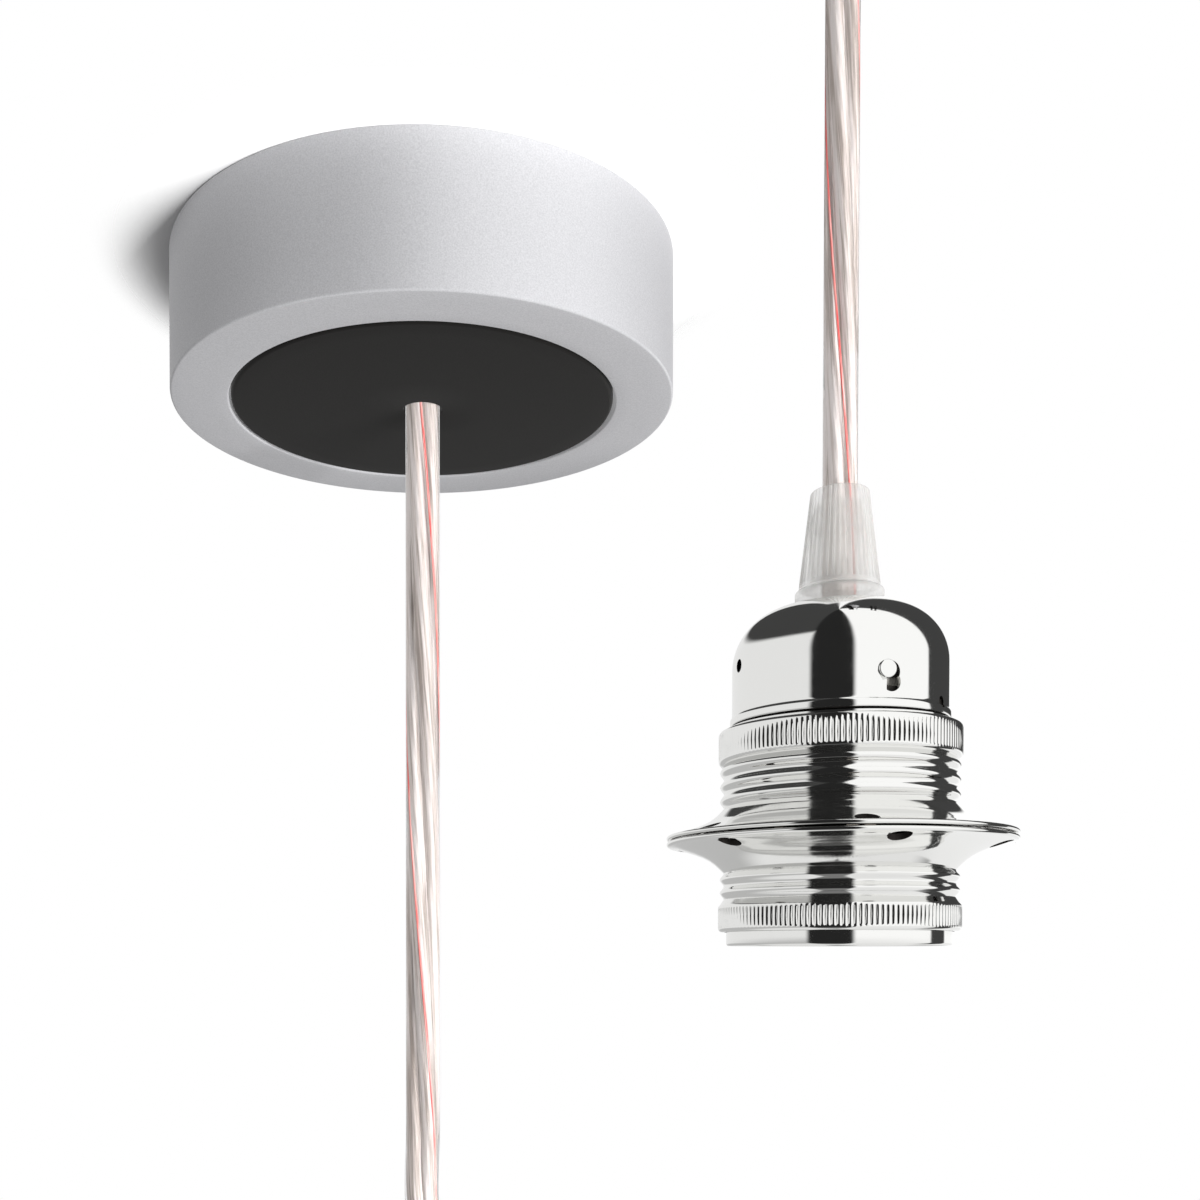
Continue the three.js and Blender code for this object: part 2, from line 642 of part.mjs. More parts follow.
// Cord grip: a body through the cap's hole, a split collet, a ribbed nut and a locknut inside the cap
const COLLET_RADIUS = 4.6;
const COLLET_HEIGHT = 4.4;
const NUT_CROWN = 2.4; // thickness of the nut above the collet
const COLLET_TOP = GRIP_HEIGHT - NUT_CROWN - CLEARANCE;
const BODY_TOP = COLLET_TOP - COLLET_HEIGHT - CLEARANCE;
function gripBody() {
  return turned(
    [
      [BORE, -8],
      [SHANK_RADIUS, -8],
      [SHANK_RADIUS, CLEARANCE],
      [GRIP_NECK_RADIUS, CLEARANCE],
      [GRIP_NECK_RADIUS, GRIP_NECK],
      [GRIP_COLLAR_RADIUS, GRIP_NECK + 0.3],
      [GRIP_COLLAR_RADIUS, GRIP_COLLAR_TOP],
      [SHANK_RADIUS, GRIP_COLLAR_TOP],
      [SHANK_RADIUS, BODY_TOP],
      [BORE, BODY_TOP],
    ],
    SMALL_ROUND,
  );
}
add(holder, 'grip_body', gripBody(), FROSTED);

function gripNut() {
  const bottom = GRIP_COLLAR_TOP + CLEARANCE;
  const ribFoot = bottom + NUT_BAND + 0.3;
  const ribTop = GRIP_HEIGHT - 0.5;
  const inside = SHANK_RADIUS + CLEARANCE;
  const crown = GRIP_HEIGHT - NUT_CROWN;
  const shell = turned(
    [
      [inside, bottom],
      [NUT_BOTTOM_RADIUS, bottom],
      [NUT_BOTTOM_RADIUS, bottom + NUT_BAND],
      [NUT_BOTTOM_RADIUS - NUT_RIB_DEPTH, ribFoot],
      [NUT_TOP_RADIUS - NUT_RIB_DEPTH, ribTop],
      [NUT_TOP_RADIUS - 0.6, GRIP_HEIGHT],
      [BORE, GRIP_HEIGHT],
      [BORE, crown],
      [COLLET_RADIUS + CLEARANCE - 0.6, crown],
      [inside, BODY_TOP + 1.5],
    ],
    NUT_RIBS * 2,
  );
  // Every second corner of the ribbed stretch stands out by the rib's depth.
  const place = shell.attributes.position;
  for (let i = 0; i < place.count; i += 1) {
    const [x, y, z] = [place.getX(i), place.getY(i), place.getZ(i)];
    const ribbed = [ribFoot, ribTop].some((height) => Math.abs(z - height) < 0.01);
    const corner = Math.round((Math.atan2(y, x) / Math.PI) * NUT_RIBS);
    if (ribbed && corner % 2 !== 0) {
      const grown = 1 + NUT_RIB_DEPTH / Math.hypot(x, y);
      place.setXY(i, x * grown, y * grown);
    }
  }
  return shell;
}
add(holder, 'grip_nut', gripNut(), FROSTED);

function gripCollet() {
  const bottom = COLLET_TOP - COLLET_HEIGHT;
  const ring = turned(
    [
      [BORE, bottom],
      [COLLET_RADIUS, bottom],
      [COLLET_RADIUS, bottom + 1.2],
      [COLLET_RADIUS - 0.6, COLLET_TOP],
      [BORE, COLLET_TOP],
    ],
    SMALL_ROUND,
  );
  return cut(ring, box(8, 0.8, 12, [4, 0, bottom]));
}
add(holder, 'grip_collet', gripCollet(), WHITE_PLASTIC);
add(holder, 'grip_locknut', hexagon(NUT_ACROSS, NUT_THICKNESS, SHANK_HOLE), STEEL, [
  0,
  0,
  -CAP_WALL - CLEARANCE - NUT_THICKNESS,
]);

// Threaded sleeve: its neck stands in the cap, its outside carries both shade rings
const neckOuter = capRadius - CAP_WALL - CLEARANCE;
const neckInner = neckOuter - SLEEVE_WALL;
const SHOULDER_Z = -CAP_HEIGHT - CLEARANCE;
function threadedSleeve() {
  return turned([
    [neckInner, SHOULDER_Z + SLEEVE_NECK],
    [neckInner, SHOULDER_Z - SLEEVE_WALL],
    [THREAD_RADIUS - SLEEVE_WALL, SHOULDER_Z - SLEEVE_WALL],
    ...arc(THREAD_RADIUS - SLEEVE_WALL / 2, -SLEEVE_BOTTOM + SLEEVE_WALL / 2, SLEEVE_WALL / 2, 180, 360, 4),
    [THREAD_RADIUS, SHOULDER_Z],
    [neckOuter, SHOULDER_Z],
    [neckOuter, SHOULDER_Z + SLEEVE_NECK],
  ]);
}
add(holder, 'threaded_sleeve', threadedSleeve(), CHROME);

// Porcelain insert in the sleeve's neck, with recesses for the terminals
const insertRadius = neckInner - CLEARANCE;
const INSERT_BOTTOM = INSERT_TOP + INSERT_HEIGHT;
const TERMINAL_X = 9.5;
const TERMINAL_SIZE = [7, 11, 1];
const RECESS_DEPTH = 3;
const EARTH_Y = 12.2;
function porcelainInsert() {
  const body = turned([
    [0, -INSERT_BOTTOM],
    [insertRadius - 0.8, -INSERT_BOTTOM],
    [insertRadius, 0.8 - INSERT_BOTTOM],
    [insertRadius, -INSERT_TOP - 0.8],
    [insertRadius - 0.8, -INSERT_TOP],
    [0, -INSERT_TOP],
  ]);
  const [x, y] = TERMINAL_SIZE;
  const tools = [-1, 1].flatMap((side) => [
    box(x + 1, y + 1, RECESS_DEPTH * 2, [side * TERMINAL_X, 0, -INSERT_TOP]),
    cylinder(1.9, -INSERT_TOP - 8, -INSERT_TOP, SCREW_ROUND).translate(side * TERMINAL_X, 0, 0),
  ]);
  return cut(body, ...tools, cylinder(1.5, -INSERT_BOTTOM - 1, -INSERT_TOP + 1, 12));
}
add(holder, 'porcelain_insert', porcelainInsert(), PORCELAIN);

const PLATE_TOP = -INSERT_TOP - RECESS_DEPTH + CLEARANCE + TERMINAL_SIZE[2];
[-1, 1].forEach((side, i) => {
  const [x, y, z] = TERMINAL_SIZE;
  const plate = cut(box(x, y, z, [0, 0, -z / 2]), cylinder(1.9, -3, 3, 12));
  const place = [side * TERMINAL_X, 0, PLATE_TOP];
  add(holder, `terminal_plate_${coreNames[i]}`, plate, BRASS, place);
  const holdScrew = screw(2.6, 1.6, 1.6, 4.6);
  const tip = [side * TERMINAL_X, 0, PLATE_TOP + CLEARANCE - 4.6];
  add(holder, `holder_screw_${coreNames[i]}`, holdScrew, STEEL, tip);
});

// Earth plate under the cap's locknut, hooked to the rear
const EARTH_PLATE_TOP = -CAP_WALL - 2 * CLEARANCE - NUT_THICKNESS;
function earthPlate() {
  const washer = cylinder(NUT_ACROSS / 2, -1, 0);
  const tongue = box(7, EARTH_Y + 1.5, 1, [0, (EARTH_Y + 1.5) / 2, -0.5]);
  const holes = [cylinder(SHANK_HOLE, -2, 2), cylinder(1.9, -2, 2, 12).translate(0, EARTH_Y - 2, 0)];
  return cut(join(washer, tongue), ...holes);
}
add(holder, 'earth_plate', earthPlate(), STEEL, [0, 0, EARTH_PLATE_TOP]);
const earthScrew = screw(2.6, 1.6, 1.6, 3.6);
const EARTH_SCREW_TIP = [0, EARTH_Y - 2, EARTH_PLATE_TOP - 1 - CLEARANCE + 3.6];
add(holder, 'earth_screw', earthScrew, STEEL, EARTH_SCREW_TIP, [Math.PI, 0, 0]);

// Centre contact: a rivet through the insert and a springy tongue under it
const CONTACT_TOP = -INSERT_BOTTOM - SHELL_WALL - 2 * CLEARANCE;
function centreContact() {
  const rivet = cylinder(1.2, CONTACT_TOP - 0.5, -INSERT_TOP - 1, 12);
  const tongue = prism(polygon([[-4, 0], [4, 0], [6.5, -2.6], [6.1, -3], [3.7, -0.7], [-4, -0.7]]), 5)
    .rotateX(Math.PI / 2)
    .translate(0, 2.5, CONTACT_TOP);
  return join(tongue, rivet);
}
add(holder, 'centre_contact', centreContact(), BRASS);

// Screw shell: a cup with a rolled thread, held under the insert
const SHELL_TOP = -INSERT_BOTTOM - CLEARANCE;
const SHELL_HEIGHT = SHELL_PITCH * SHELL_TURNS + 2;
const THREAD_STEPS = 2; // points of one wave of the thread
function screwShell() {
  const wave = (offset) =>
    Array.from({ length: SHELL_TURNS * THREAD_STEPS + 1 }, (_, i) => {
      const phase = (2 * Math.PI * i) / THREAD_STEPS;
      const depth = (SHELL_THREAD * (1 - Math.cos(phase))) / 2;
      return [SHELL_RADIUS - offset - depth, SHELL_TOP - 2 - (SHELL_PITCH * i) / THREAD_STEPS];
    });
  return turned(
    [
      [7.5, SHELL_TOP],
      [SHELL_RADIUS, SHELL_TOP],
      ...wave(0),
      ...wave(SHELL_WALL).reverse(),
      [SHELL_RADIUS - SHELL_WALL, SHELL_TOP - SHELL_WALL],
      [7.5, SHELL_TOP - SHELL_WALL],
    ],
    28,
  );
}
add(holder, 'screw_shell', screwShell(), BRASS);

// Insulating liner: a stepped tube between the shell and the sleeve
const linerOuter = THREAD_RADIUS - SLEEVE_WALL - CLEARANCE;
const LINER_TOP = SHOULDER_Z - SLEEVE_WALL - CLEARANCE;
function insulatingLiner() {
  const seatInner = insertRadius + CLEARANCE - 1.5;
  return turned(
    [
      [linerOuter, LINER_TOP],
      [linerOuter, -SLEEVE_BOTTOM + LINER_RECESS],
      [linerOuter - LINER_WALL, -SLEEVE_BOTTOM + LINER_RECESS],
      [linerOuter - LINER_WALL, -INSERT_BOTTOM - CLEARANCE - 1.5],
      [seatInner, -INSERT_BOTTOM - CLEARANCE - 1.5],
      [seatInner, -INSERT_BOTTOM - CLEARANCE],
      [insertRadius + CLEARANCE, -INSERT_BOTTOM - CLEARANCE],
      [insertRadius + CLEARANCE, LINER_TOP],
    ],
    ROUND,
  );
}
add(holder, 'insulating_liner', insulatingLiner(), LINER_CARD);

// Shade rings: knurled collar, rolled thread, flare and flange. One profile, pointed either way.
const ringBore = THREAD_RADIUS + CLEARANCE;
const FLARE_HEIGHT = 6.4;
const FLANGE_EDGE = 1.1; // height of the flange's rolled edge
const COLLAR_HEIGHT = 5.6;
const THREAD_WAVES = 3;

// The profile starts at the flange (z 0) and grows upwards to the collar.
function ringProfile(height, waves) {
  const flareTop = FLARE_HEIGHT;
  const throat = RING_BEAD + 0.1;
  const flare = [
    [FLANGE_RADIUS - 0.4, FLANGE_EDGE],
    [28, 1.7],
    [25.4, 2.5],
    [23.2, 3.7],
    [22.1, 5],
  ];
  const threadStart = flareTop + 0.6;
  const threadEnd = height - COLLAR_HEIGHT - 1;
  const thread = Array.from({ length: 2 * waves + 1 }, (_, i) => [
    i % 2 === 0 ? RING_VALLEY : RING_THREAD,
    threadStart + ((threadEnd - threadStart) * i) / (2 * waves),
  ]);
  const outside = [
    [FLANGE_RADIUS, CLEARANCE],
    [FLANGE_RADIUS, FLANGE_EDGE - 0.3],
    ...flare,
    [throat - 0.3, flareTop],
    ...thread,
    [RING_BEAD, height - COLLAR_HEIGHT],
    [RING_BEAD, height - 0.5],
    [RING_BEAD - 0.5, height],
    [ringBore, height],
  ];
  const inside = [
    [ringBore, flareTop - 0.6],
    [22.5, 3],
    [25, 1.5],
    [27.6, RING_WALL],
    [28.6, CLEARANCE],
  ];
  return [...outside, ...inside];
}

function shadeRing(height, waves, up, ventTurn) {
  const vents = Array.from({ length: VENTS }, (_, i) => {
    const angle = THREE.MathUtils.degToRad(ventTurn - 90 + (360 / VENTS) * i);
    const [x, y] = [VENT_CIRCLE * Math.cos(angle), VENT_CIRCLE * Math.sin(angle)];
    return cylinder(VENT_RADIUS, -2, 6, SCREW_ROUND).translate(x, y, 0);
  });
  const ring = cut(turned(ringProfile(height, waves)), ...vents);
  return up ? ring : ring.scale(1, 1, -1);
}
const upperRing = shadeRing(UPPER_RING_HEIGHT, THREAD_WAVES, true, UPPER_VENT_TURN);
add(holder, 'shade_ring_upper', upperRing, CHROME, [0, 0, -FLANGE_Z]);
const lowerRing = shadeRing(LOWER_RING_HEIGHT, THREAD_WAVES - 1, false, LOWER_VENT_TURN);
add(holder, 'shade_ring_lower', lowerRing, CHROME, [0, 0, -FLANGE_Z]);

// Cores inside the cap, from the cord's cut end to the two terminals and the earth screw
const CORE_START = CORD_BOTTOM - CAP_TOP - CLEARANCE;
const CORE_REST = PLATE_TOP + CLEARANCE + CORE_RADIUS;
const CORE_Y = -4.2; // beside the terminal screws
const toTerminal = (side) => [
  [side * 1.4, -0.8, CORE_START],
  [side * 1.6, -0.9, CORE_START - 1.4],
  [side * 4.4, -2.8, CORE_START - 3],
  [side * 6.7, CORE_Y, CORE_REST + 2.4],
  [side * 7.8, CORE_Y, CORE_REST + 0.4],
  [side * 10.4, CORE_Y, CORE_REST],
];
const coreRoutes = {
  live: toTerminal(-1),
  neutral: toTerminal(1),
  earth: [
    [0, 1.6, CORE_START],
    [0, 1.8, CORE_START - 1.4],
    [1.4, 4.4, CORE_START - 2.2],
    [3.2, 7, CORE_START - 1],
    [4.4, 9, CORE_START + 0.6],
  ],
};
coreNames.forEach((name) => {
  const core = tube(coreRoutes[name], CORE_RADIUS, WIRE_SIDES, WIRE_STEPS);
  add(holder, `holder_core_${name}`, core, CLEAR_PVC);
});

export default set;
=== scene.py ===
# %% [markdown]
# # A pendant cord set
# A ceiling rose, one clear sheathed cord and a metal lamp holder with two shade rings.
# The solids that carry the construction are loaded first, and the finished surfaces are
# modelled over them in metres, each at its real place.

# %% Load the construction
import json
import math

import bmesh
import bpy
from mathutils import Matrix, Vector


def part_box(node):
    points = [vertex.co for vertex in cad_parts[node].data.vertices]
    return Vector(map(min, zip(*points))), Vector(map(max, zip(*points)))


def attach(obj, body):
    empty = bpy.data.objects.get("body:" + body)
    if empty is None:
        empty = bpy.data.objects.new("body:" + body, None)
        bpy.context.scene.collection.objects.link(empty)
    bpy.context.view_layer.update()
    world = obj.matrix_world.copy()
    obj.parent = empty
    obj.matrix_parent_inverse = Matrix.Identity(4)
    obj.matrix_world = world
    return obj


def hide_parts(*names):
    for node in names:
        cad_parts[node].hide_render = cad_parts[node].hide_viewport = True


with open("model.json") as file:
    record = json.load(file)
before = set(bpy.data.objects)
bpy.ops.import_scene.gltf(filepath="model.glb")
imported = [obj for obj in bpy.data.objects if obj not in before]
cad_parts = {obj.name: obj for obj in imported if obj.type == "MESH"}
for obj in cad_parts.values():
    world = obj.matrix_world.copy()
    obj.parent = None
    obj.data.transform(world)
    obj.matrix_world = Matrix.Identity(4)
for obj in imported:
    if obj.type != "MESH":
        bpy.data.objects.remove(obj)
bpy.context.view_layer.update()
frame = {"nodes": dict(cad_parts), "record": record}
nodes = frame["nodes"]
print("solids loaded:", len(nodes))

MM = 0.001
FRONT = Vector((0, -1, 0))  # towards the camera

# %% [markdown]
# ## The camera
# The photograph looks at the rose from well below and at the lamp holder from a little below.
# One camera can do both if it stands low and close, nearly level, with its lens shifted up as an
# architect's is. The verticals then stay parallel.

# %% Camera
CAMERA_PLACE = Vector((6.8, -251.1, -123.6)) * MM
FOCAL_PIXELS = 1368
PHOTO_PIXELS = 1200
LENS_SHIFT = (0.1167, 0.3212)
TILT_DOWN = 1.27
camera_data = bpy.data.cameras.new("camera")
camera_data.sensor_width = 36
camera_data.lens = camera_data.sensor_width * FOCAL_PIXELS / PHOTO_PIXELS
camera_data.shift_x, camera_data.shift_y = LENS_SHIFT
camera_data.clip_start = 0.01
camera = bpy.data.objects.new("camera", camera_data)
camera.location = CAMERA_PLACE
camera.rotation_euler = (math.radians(90 - TILT_DOWN), 0, 0)
bpy.context.scene.collection.objects.link(camera)
bpy.context.scene.camera = camera
print("lens", round(camera_data.lens, 2), "mm")

# %% [markdown]
# ## The cord's route
# The cord is one length of flexible cable. It comes straight out of the rose, hangs in a half
# round below the picture, rises outside it to a neat coil on a ceiling hook, and falls straight
# into the cord grip. The points that aren't coiled are listed, and the coil is a loop.

# %% Route of the cord
CORD_RADIUS = 3.1 * MM
COIL_RADIUS = 32 * MM
COIL_PITCH = 6.4 * MM
COIL_TURNS = 3.5
COIL_X = 108 * MM
COIL_Z = 95 * MM
POINTS_PER_TURN = 24

riser_y = -COIL_TURNS * COIL_PITCH
holder_x = COIL_X - COIL_RADIUS
cord_in_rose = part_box("rose_gland_body")[1][2] + 0.5 * MM
cord_in_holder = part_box("cord_tail")[0][2]

DROP_POINTS = [
    *[(0, 0, z) for z in (-40, -70, -100, -130, -155, -172)],
    (5.3, -0.8, -198.8),
    (20.5, -3.3, -221.5),
    (43.2, -7, -236.7),
    (70, -11.2, -242),
    (96.8, -15.4, -236.7),
    (119.5, -19.1, -221.5),
    (134.7, -21.6, -198.8),
    *[(140, -22.4, z) for z in (-172, -150, -110, -70, -30, 10, 40, 70)],
]
TAIL_POINTS = [(76, 0, z) for z in (70, 40, 10, -20, -39)]


def coil_points():
    """Turns of the coil, from the riser on its right to the holder's stretch on its left."""
    count = round(COIL_TURNS * POINTS_PER_TURN)
    for i in range(count + 1):
        turn = i / POINTS_PER_TURN
        x = COIL_X + COIL_RADIUS * math.cos(2 * math.pi * turn)
        z = COIL_Z + COIL_RADIUS * math.sin(2 * math.pi * turn)
        yield Vector((x, riser_y + COIL_PITCH * turn, z))


route = [Vector((0, 0, cord_in_rose))]
route += [Vector(point) * MM for point in DROP_POINTS]
route += list(coil_points())
route += [Vector(point) * MM for point in TAIL_POINTS]
route += [Vector((holder_x, 0, cord_in_holder))]
print("route points:", len(route))

# %% [markdown]
# A Catmull-Rom curve runs smoothly through those points. It is walked in even steps, and each one
# carries two side directions that turn as little as possible, so that the cores' twist can be set.

# %% Even steps along the route
CORD_STEP = 2.5 * MM
FINE_STEPS = 16  # between two points of the route


def catmull_rom(points, t):
    """Point at share t between the middle two of four, knots spaced by the distances' roots."""
    knots = [0.0]
    for a, b in zip(points, points[1:]):
        knots.append(knots[-1] + math.sqrt((b - a).length))
    k = knots[1] + (knots[2] - knots[1]) * t

    def mix(p, q, i, j):
        span = knots[j] - knots[i]
        return p * ((knots[j] - k) / span) + q * ((k - knots[i]) / span)

    first = [mix(points[i], points[i + 1], i, i + 1) for i in range(3)]
    second = [mix(first[i], first[i + 1], i, i + 2) for i in range(2)]
    return mix(*second, 1, 2)


def even_steps(points, step):
    """The curve through the points, cut into equal steps: (places, distances)."""
    ends = [points[0] * 2 - points[1]] + points + [points[-1] * 2 - points[-2]]
    fine = [points[0]]
    for i in range(len(points) - 1):
        for j in range(1, FINE_STEPS + 1):
            fine.append(catmull_rom(ends[i : i + 4], j / FINE_STEPS))
    reach = [0.0]
    for a, b in zip(fine, fine[1:]):
        reach.append(reach[-1] + (b - a).length)
    count = round(reach[-1] / step)
    places, distances, k = [], [], 0
    for i in range(count + 1):
        goal = reach[-1] * i / count
        while k < len(reach) - 2 and reach[k + 1] < goal:
            k += 1
        share = (goal - reach[k]) / (reach[k + 1] - reach[k])
        places.append(fine[k].lerp(fine[k + 1], share))
        distances.append(goal)
    return places, distances


def side_directions(places):
    """A tangent and two sideways directions for each place, carried along without spinning."""
    tangents = []
    for i in range(len(places)):
        a, b = places[max(i - 1, 0)], places[min(i + 1, len(places) - 1)]
        tangents.append((b - a).normalized())
    side = FRONT - tangents[0] * FRONT.dot(tangents[0])
    frames = []
    for tangent in tangents:
        side = (side - tangent * side.dot(tangent)).normalized()
        frames.append((tangent, side, tangent.cross(side)))
    return frames


cord_places, cord_distances = even_steps(route, CORD_STEP)
cord_frames = side_directions(cord_places)

# %% [markdown]
# ## Helpers for materials
# Colours are written in hex and turned to linear values. The functions are the steps that many
# materials share.

# %% Material helpers


def colour(hex_value, alpha=1.0):
    """An sRGB hex colour as linear RGBA."""
    channels = [int(hex_value[i : i + 2], 16) / 255 for i in (1, 3, 5)]
    linear = [c / 12.92 if c <= 0.04045 else ((c + 0.055) / 1.055) ** 2.4 for c in channels]
    return (*linear, alpha)


def add_node(tree, kind, values=None, links=None, **attributes):
    """Adds a shader node with its attributes, socket values and links."""
    made = tree.nodes.new("ShaderNode" + kind)
    for name, value in attributes.items():
        setattr(made, name, value)
    for name, value in (values or {}).items():
        made.inputs[name].default_value = value
    for name, source in (links or {}).items():
        tree.links.new(source, made.inputs[name])
    return made


def start_material(name, base, roughness, metallic=0.0, **sockets):
    """A material with a Principled shader: returns the material, its node tree and the shader."""
    made = bpy.data.materials.new(name)
    made.use_nodes = True
    shader = made.node_tree.nodes["Principled BSDF"]
    shader.inputs["Base Color"].default_value = colour(base)
    shader.inputs["Roughness"].default_value = roughness
    shader.inputs["Metallic"].default_value = metallic
    for name, value in sockets.items():
        shader.inputs[name.replace("_", " ")].default_value = value
    print("material:", made.name)
    return made, made.node_tree, shader


def feed(made, i, value):
    """Puts a number or another node's result into a node's input."""
    if isinstance(value, (int, float)):
        made.inputs[i].default_value = value
    else:
        made.id_data.links.new(value, made.inputs[i])


def calculate(operation, *values):
    """A Math node on sockets or numbers: its result."""
    tree = next(value for value in values if hasattr(value, "id_data")).id_data
    made = add_node(tree, "Math", operation=operation)
    for i, value in enumerate(values):
        feed(made, i, value)
    return made.outputs["Value"]


def smooth_step(value, low, high):
    """0 below one limit and 1 above the other, with a soft slope between them."""
    limits = {"From Min": low, "From Max": high}
    links = {"Value": value}
    made = add_node(value.id_data, "MapRange", limits, links, interpolation_type="SMOOTHSTEP")
    return made.outputs["Result"]


def tint(shader, source, *stops):
    """Colours a shader by a ramp on a value, with (position, hex colour) stops."""
    tree = shader.id_data
    made = add_node(tree, "ValToRGB", links={"Fac": source})
    elements = made.color_ramp.elements
    while len(elements) < len(stops):
        elements.new(0.5)
    for element, (place, value) in zip(elements, stops):
        element.position = place
        element.color = colour(value)
    tree.links.new(made.outputs["Color"], shader.inputs["Base Color"])


def grain(tree, size_mm, detail=2.0, roughness=0.5, vector=None):
    """Noise whose blobs are about size_mm across, on object coordinates."""
    if vector is None:
        vector = add_node(tree, "TexCoord").outputs["Object"]
    values = {"Scale": 1 / (size_mm * MM), "Detail": detail, "Roughness": roughness}
    return add_node(tree, "TexNoise", values, {"Vector": vector}).outputs["Fac"]


def bump(shader, height, strength, distance_mm):
    """Bumps a shader's surface by a height value."""
    tree = shader.id_data
    values = {"Strength": strength, "Distance": distance_mm * MM}
    made = add_node(tree, "Bump", values, {"Height": height})
    tree.links.new(made.outputs["Normal"], shader.inputs["Normal"])


def roughness_between(shader, source, low, high):
    """Lets a value between 0.3 and 0.7 swing the roughness between two limits."""
    tree = shader.id_data
    values = {"From Min": 0.3, "From Max": 0.7, "To Min": low, "To Max": high}
    made = add_node(tree, "MapRange", values, {"Value": source})
    tree.links.new(made.outputs["Result"], shader.inputs["Roughness"])


def grained(name, base, basics, grit, tones=None, shine=None, relief=None, **sockets):
    """A finish whose one grain sways its colour, roughness and surface. The basics are
    (roughness, metallic), the grit (size in mm, detail) and the relief (strength, mm)."""
    made, tree, shader = start_material(name, base, *basics, **sockets)
    value = grain(tree, *grit)
    if tones:
        tint(shader, value, (0.3, tones[0]), (0.7, tones[1]))
    if shine:
        roughness_between(shader, value, *shine)
    if relief:
        bump(shader, value, *relief)
    return made


# %% [markdown]
# ## Finishes
# The rose is bead-blasted aluminium with a matt silver finish: it has a fine sandy grain that
# scatters the light, so it shows soft gradients and no mirror image.

# %% Silver of the rose
GRIT_MM = 0.22  # the real grit is nearer 0.1 mm, drawn coarser so that it shows

silver = grained(
    "blasted_aluminium_silver", "#d2d2d5", (0.48, 0.3), (GRIT_MM, 3),
    tones=("#c8c8cb", "#dbdbde"), relief=(0.35, 0.05),
)

# %% [markdown]
# The cover disc is black ABS with a fine moulded texture. It is never quite black: the satin
# surface lifts it to a dark warm grey.

# %% Black plastic
black = grained(
    "moulded_abs_black", "#191817", (0.45, 0), (0.18, 2),
    shine=(0.5, 0.62), relief=(0.18, 0.03), Specular_IOR_Level=0.14,
)

# %% [markdown]
# The lamp holder is brass with a polished chrome plate. Chrome is a near mirror: its look comes
# from what it reflects, plus a faint polishing haze and turning marks that run around it.

# %% Chrome
chrome, tree, shader = start_material("polished_chrome_plate", "#f0f0ee", 0.05, 1.0)
haze = grain(tree, 2.5, detail=4, roughness=0.6)
roughness_between(shader, haze, 0.04, 0.1)
around = add_node(tree, "TexCoord").outputs["Object"]
flattened = add_node(tree, "Mapping", {"Scale": (0.06, 0.06, 1.0)}, {"Vector": around})
turning_marks = grain(tree, 0.7, detail=3, vector=flattened.outputs["Vector"])
bump(shader, turning_marks, 0.1, 0.02)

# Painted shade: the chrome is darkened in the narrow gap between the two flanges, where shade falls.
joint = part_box("shade_ring_upper")[0]
GAP_HALF = 0.9 * MM
GAP_REACH = 30.3 * MM
from_joint = add_node(
    tree, "VectorMath", {1: (holder_x, 0, joint[2])}, {0: around}, operation="SUBTRACT"
).outputs["Vector"]
offset_z = add_node(tree, "SeparateXYZ", links={0: from_joint}).outputs["Z"]
distance_z = calculate("ABSOLUTE", offset_z)
reach = add_node(tree, "VectorMath", links={0: from_joint}, operation="LENGTH").outputs["Value"]
near_joint = calculate("LESS_THAN", distance_z, GAP_HALF)
within = calculate("LESS_THAN", reach, GAP_REACH)
gap_painted_shade = calculate("MULTIPLY", near_joint, within)
tint(shader, gap_painted_shade, (0.0, "#f0f0ee"), (1.0, "#7d7872"))

# %% [markdown]
# The walls of the punched vents, the neck inside the cap and the back of the locking tab are bare
# steel where the plating doesn't reach, dull, and coloured near black as painted shade in these
# recesses.

# %% Bare steel with painted shade
steel_with_painted_shade = grained("painted_shade_steel", "#2c2927", (0.6, 0.6), (0.6, 3), ("#211f1d", "#393532"))

# %% [markdown]
# Inside the clear sheath lie three cores of tinned copper strands. Their streaks follow the
# strands, so the pattern is stretched along the piece's own UV map: U goes round a core and V
# goes along it in metres. The tracer threads are red, and pale where fewer fibres lie on top.

# %% Strands and tracers


def streaks_along(tree, around, along, detail):
    """Noise stretched along the cord: streaks around the section and per metre."""
    uv = add_node(tree, "UVMap", uv_map="along").outputs["UV"]
    scale = (around, along, 1.0)
    stretched = add_node(tree, "Mapping", {"Scale": scale}, {"Vector": uv}).outputs["Vector"]
    values = {"Scale": 1.0, "Detail": detail}
    return add_node(tree, "TexNoise", values, {"Vector": stretched}).outputs["Fac"]


strands, tree, shader = start_material("tinned_copper_strands", "#efe8e3", 0.45, 0.45)
broad = streaks_along(tree, 7.0, 26.0, 2.0)
narrow = streaks_along(tree, 30.0, 60.0, 3.0)
NARROW_SHARE = 0.8
streak_sum = calculate("MULTIPLY_ADD", narrow, NARROW_SHARE, broad)
STREAK_TONES = [(0.74, "#b5a8a0"), (0.84, "#d2c7c0"), (0.92, "#e3d9d4"), (1.0, "#eee6e2")]
tint(shader, streak_sum, *STREAK_TONES)
bump(shader, narrow, 0.5, 0.08)

tracer_red, tree, shader = start_material("red_tracer_thread", "#ef6b66", 0.5)
fibre = streaks_along(tree, 1.0, 60.0, 2.0)
tint(shader, fibre, (0.42, "#ea5854"), (0.58, "#f4b0aa"))

# %% [markdown]
# The sheath is clear soft PVC. It acts as a round lens that makes the cores look wider than they
# are. Light reaches the cores through it: a shadow ray meets clear film instead of glass.

# %% Clear sheath


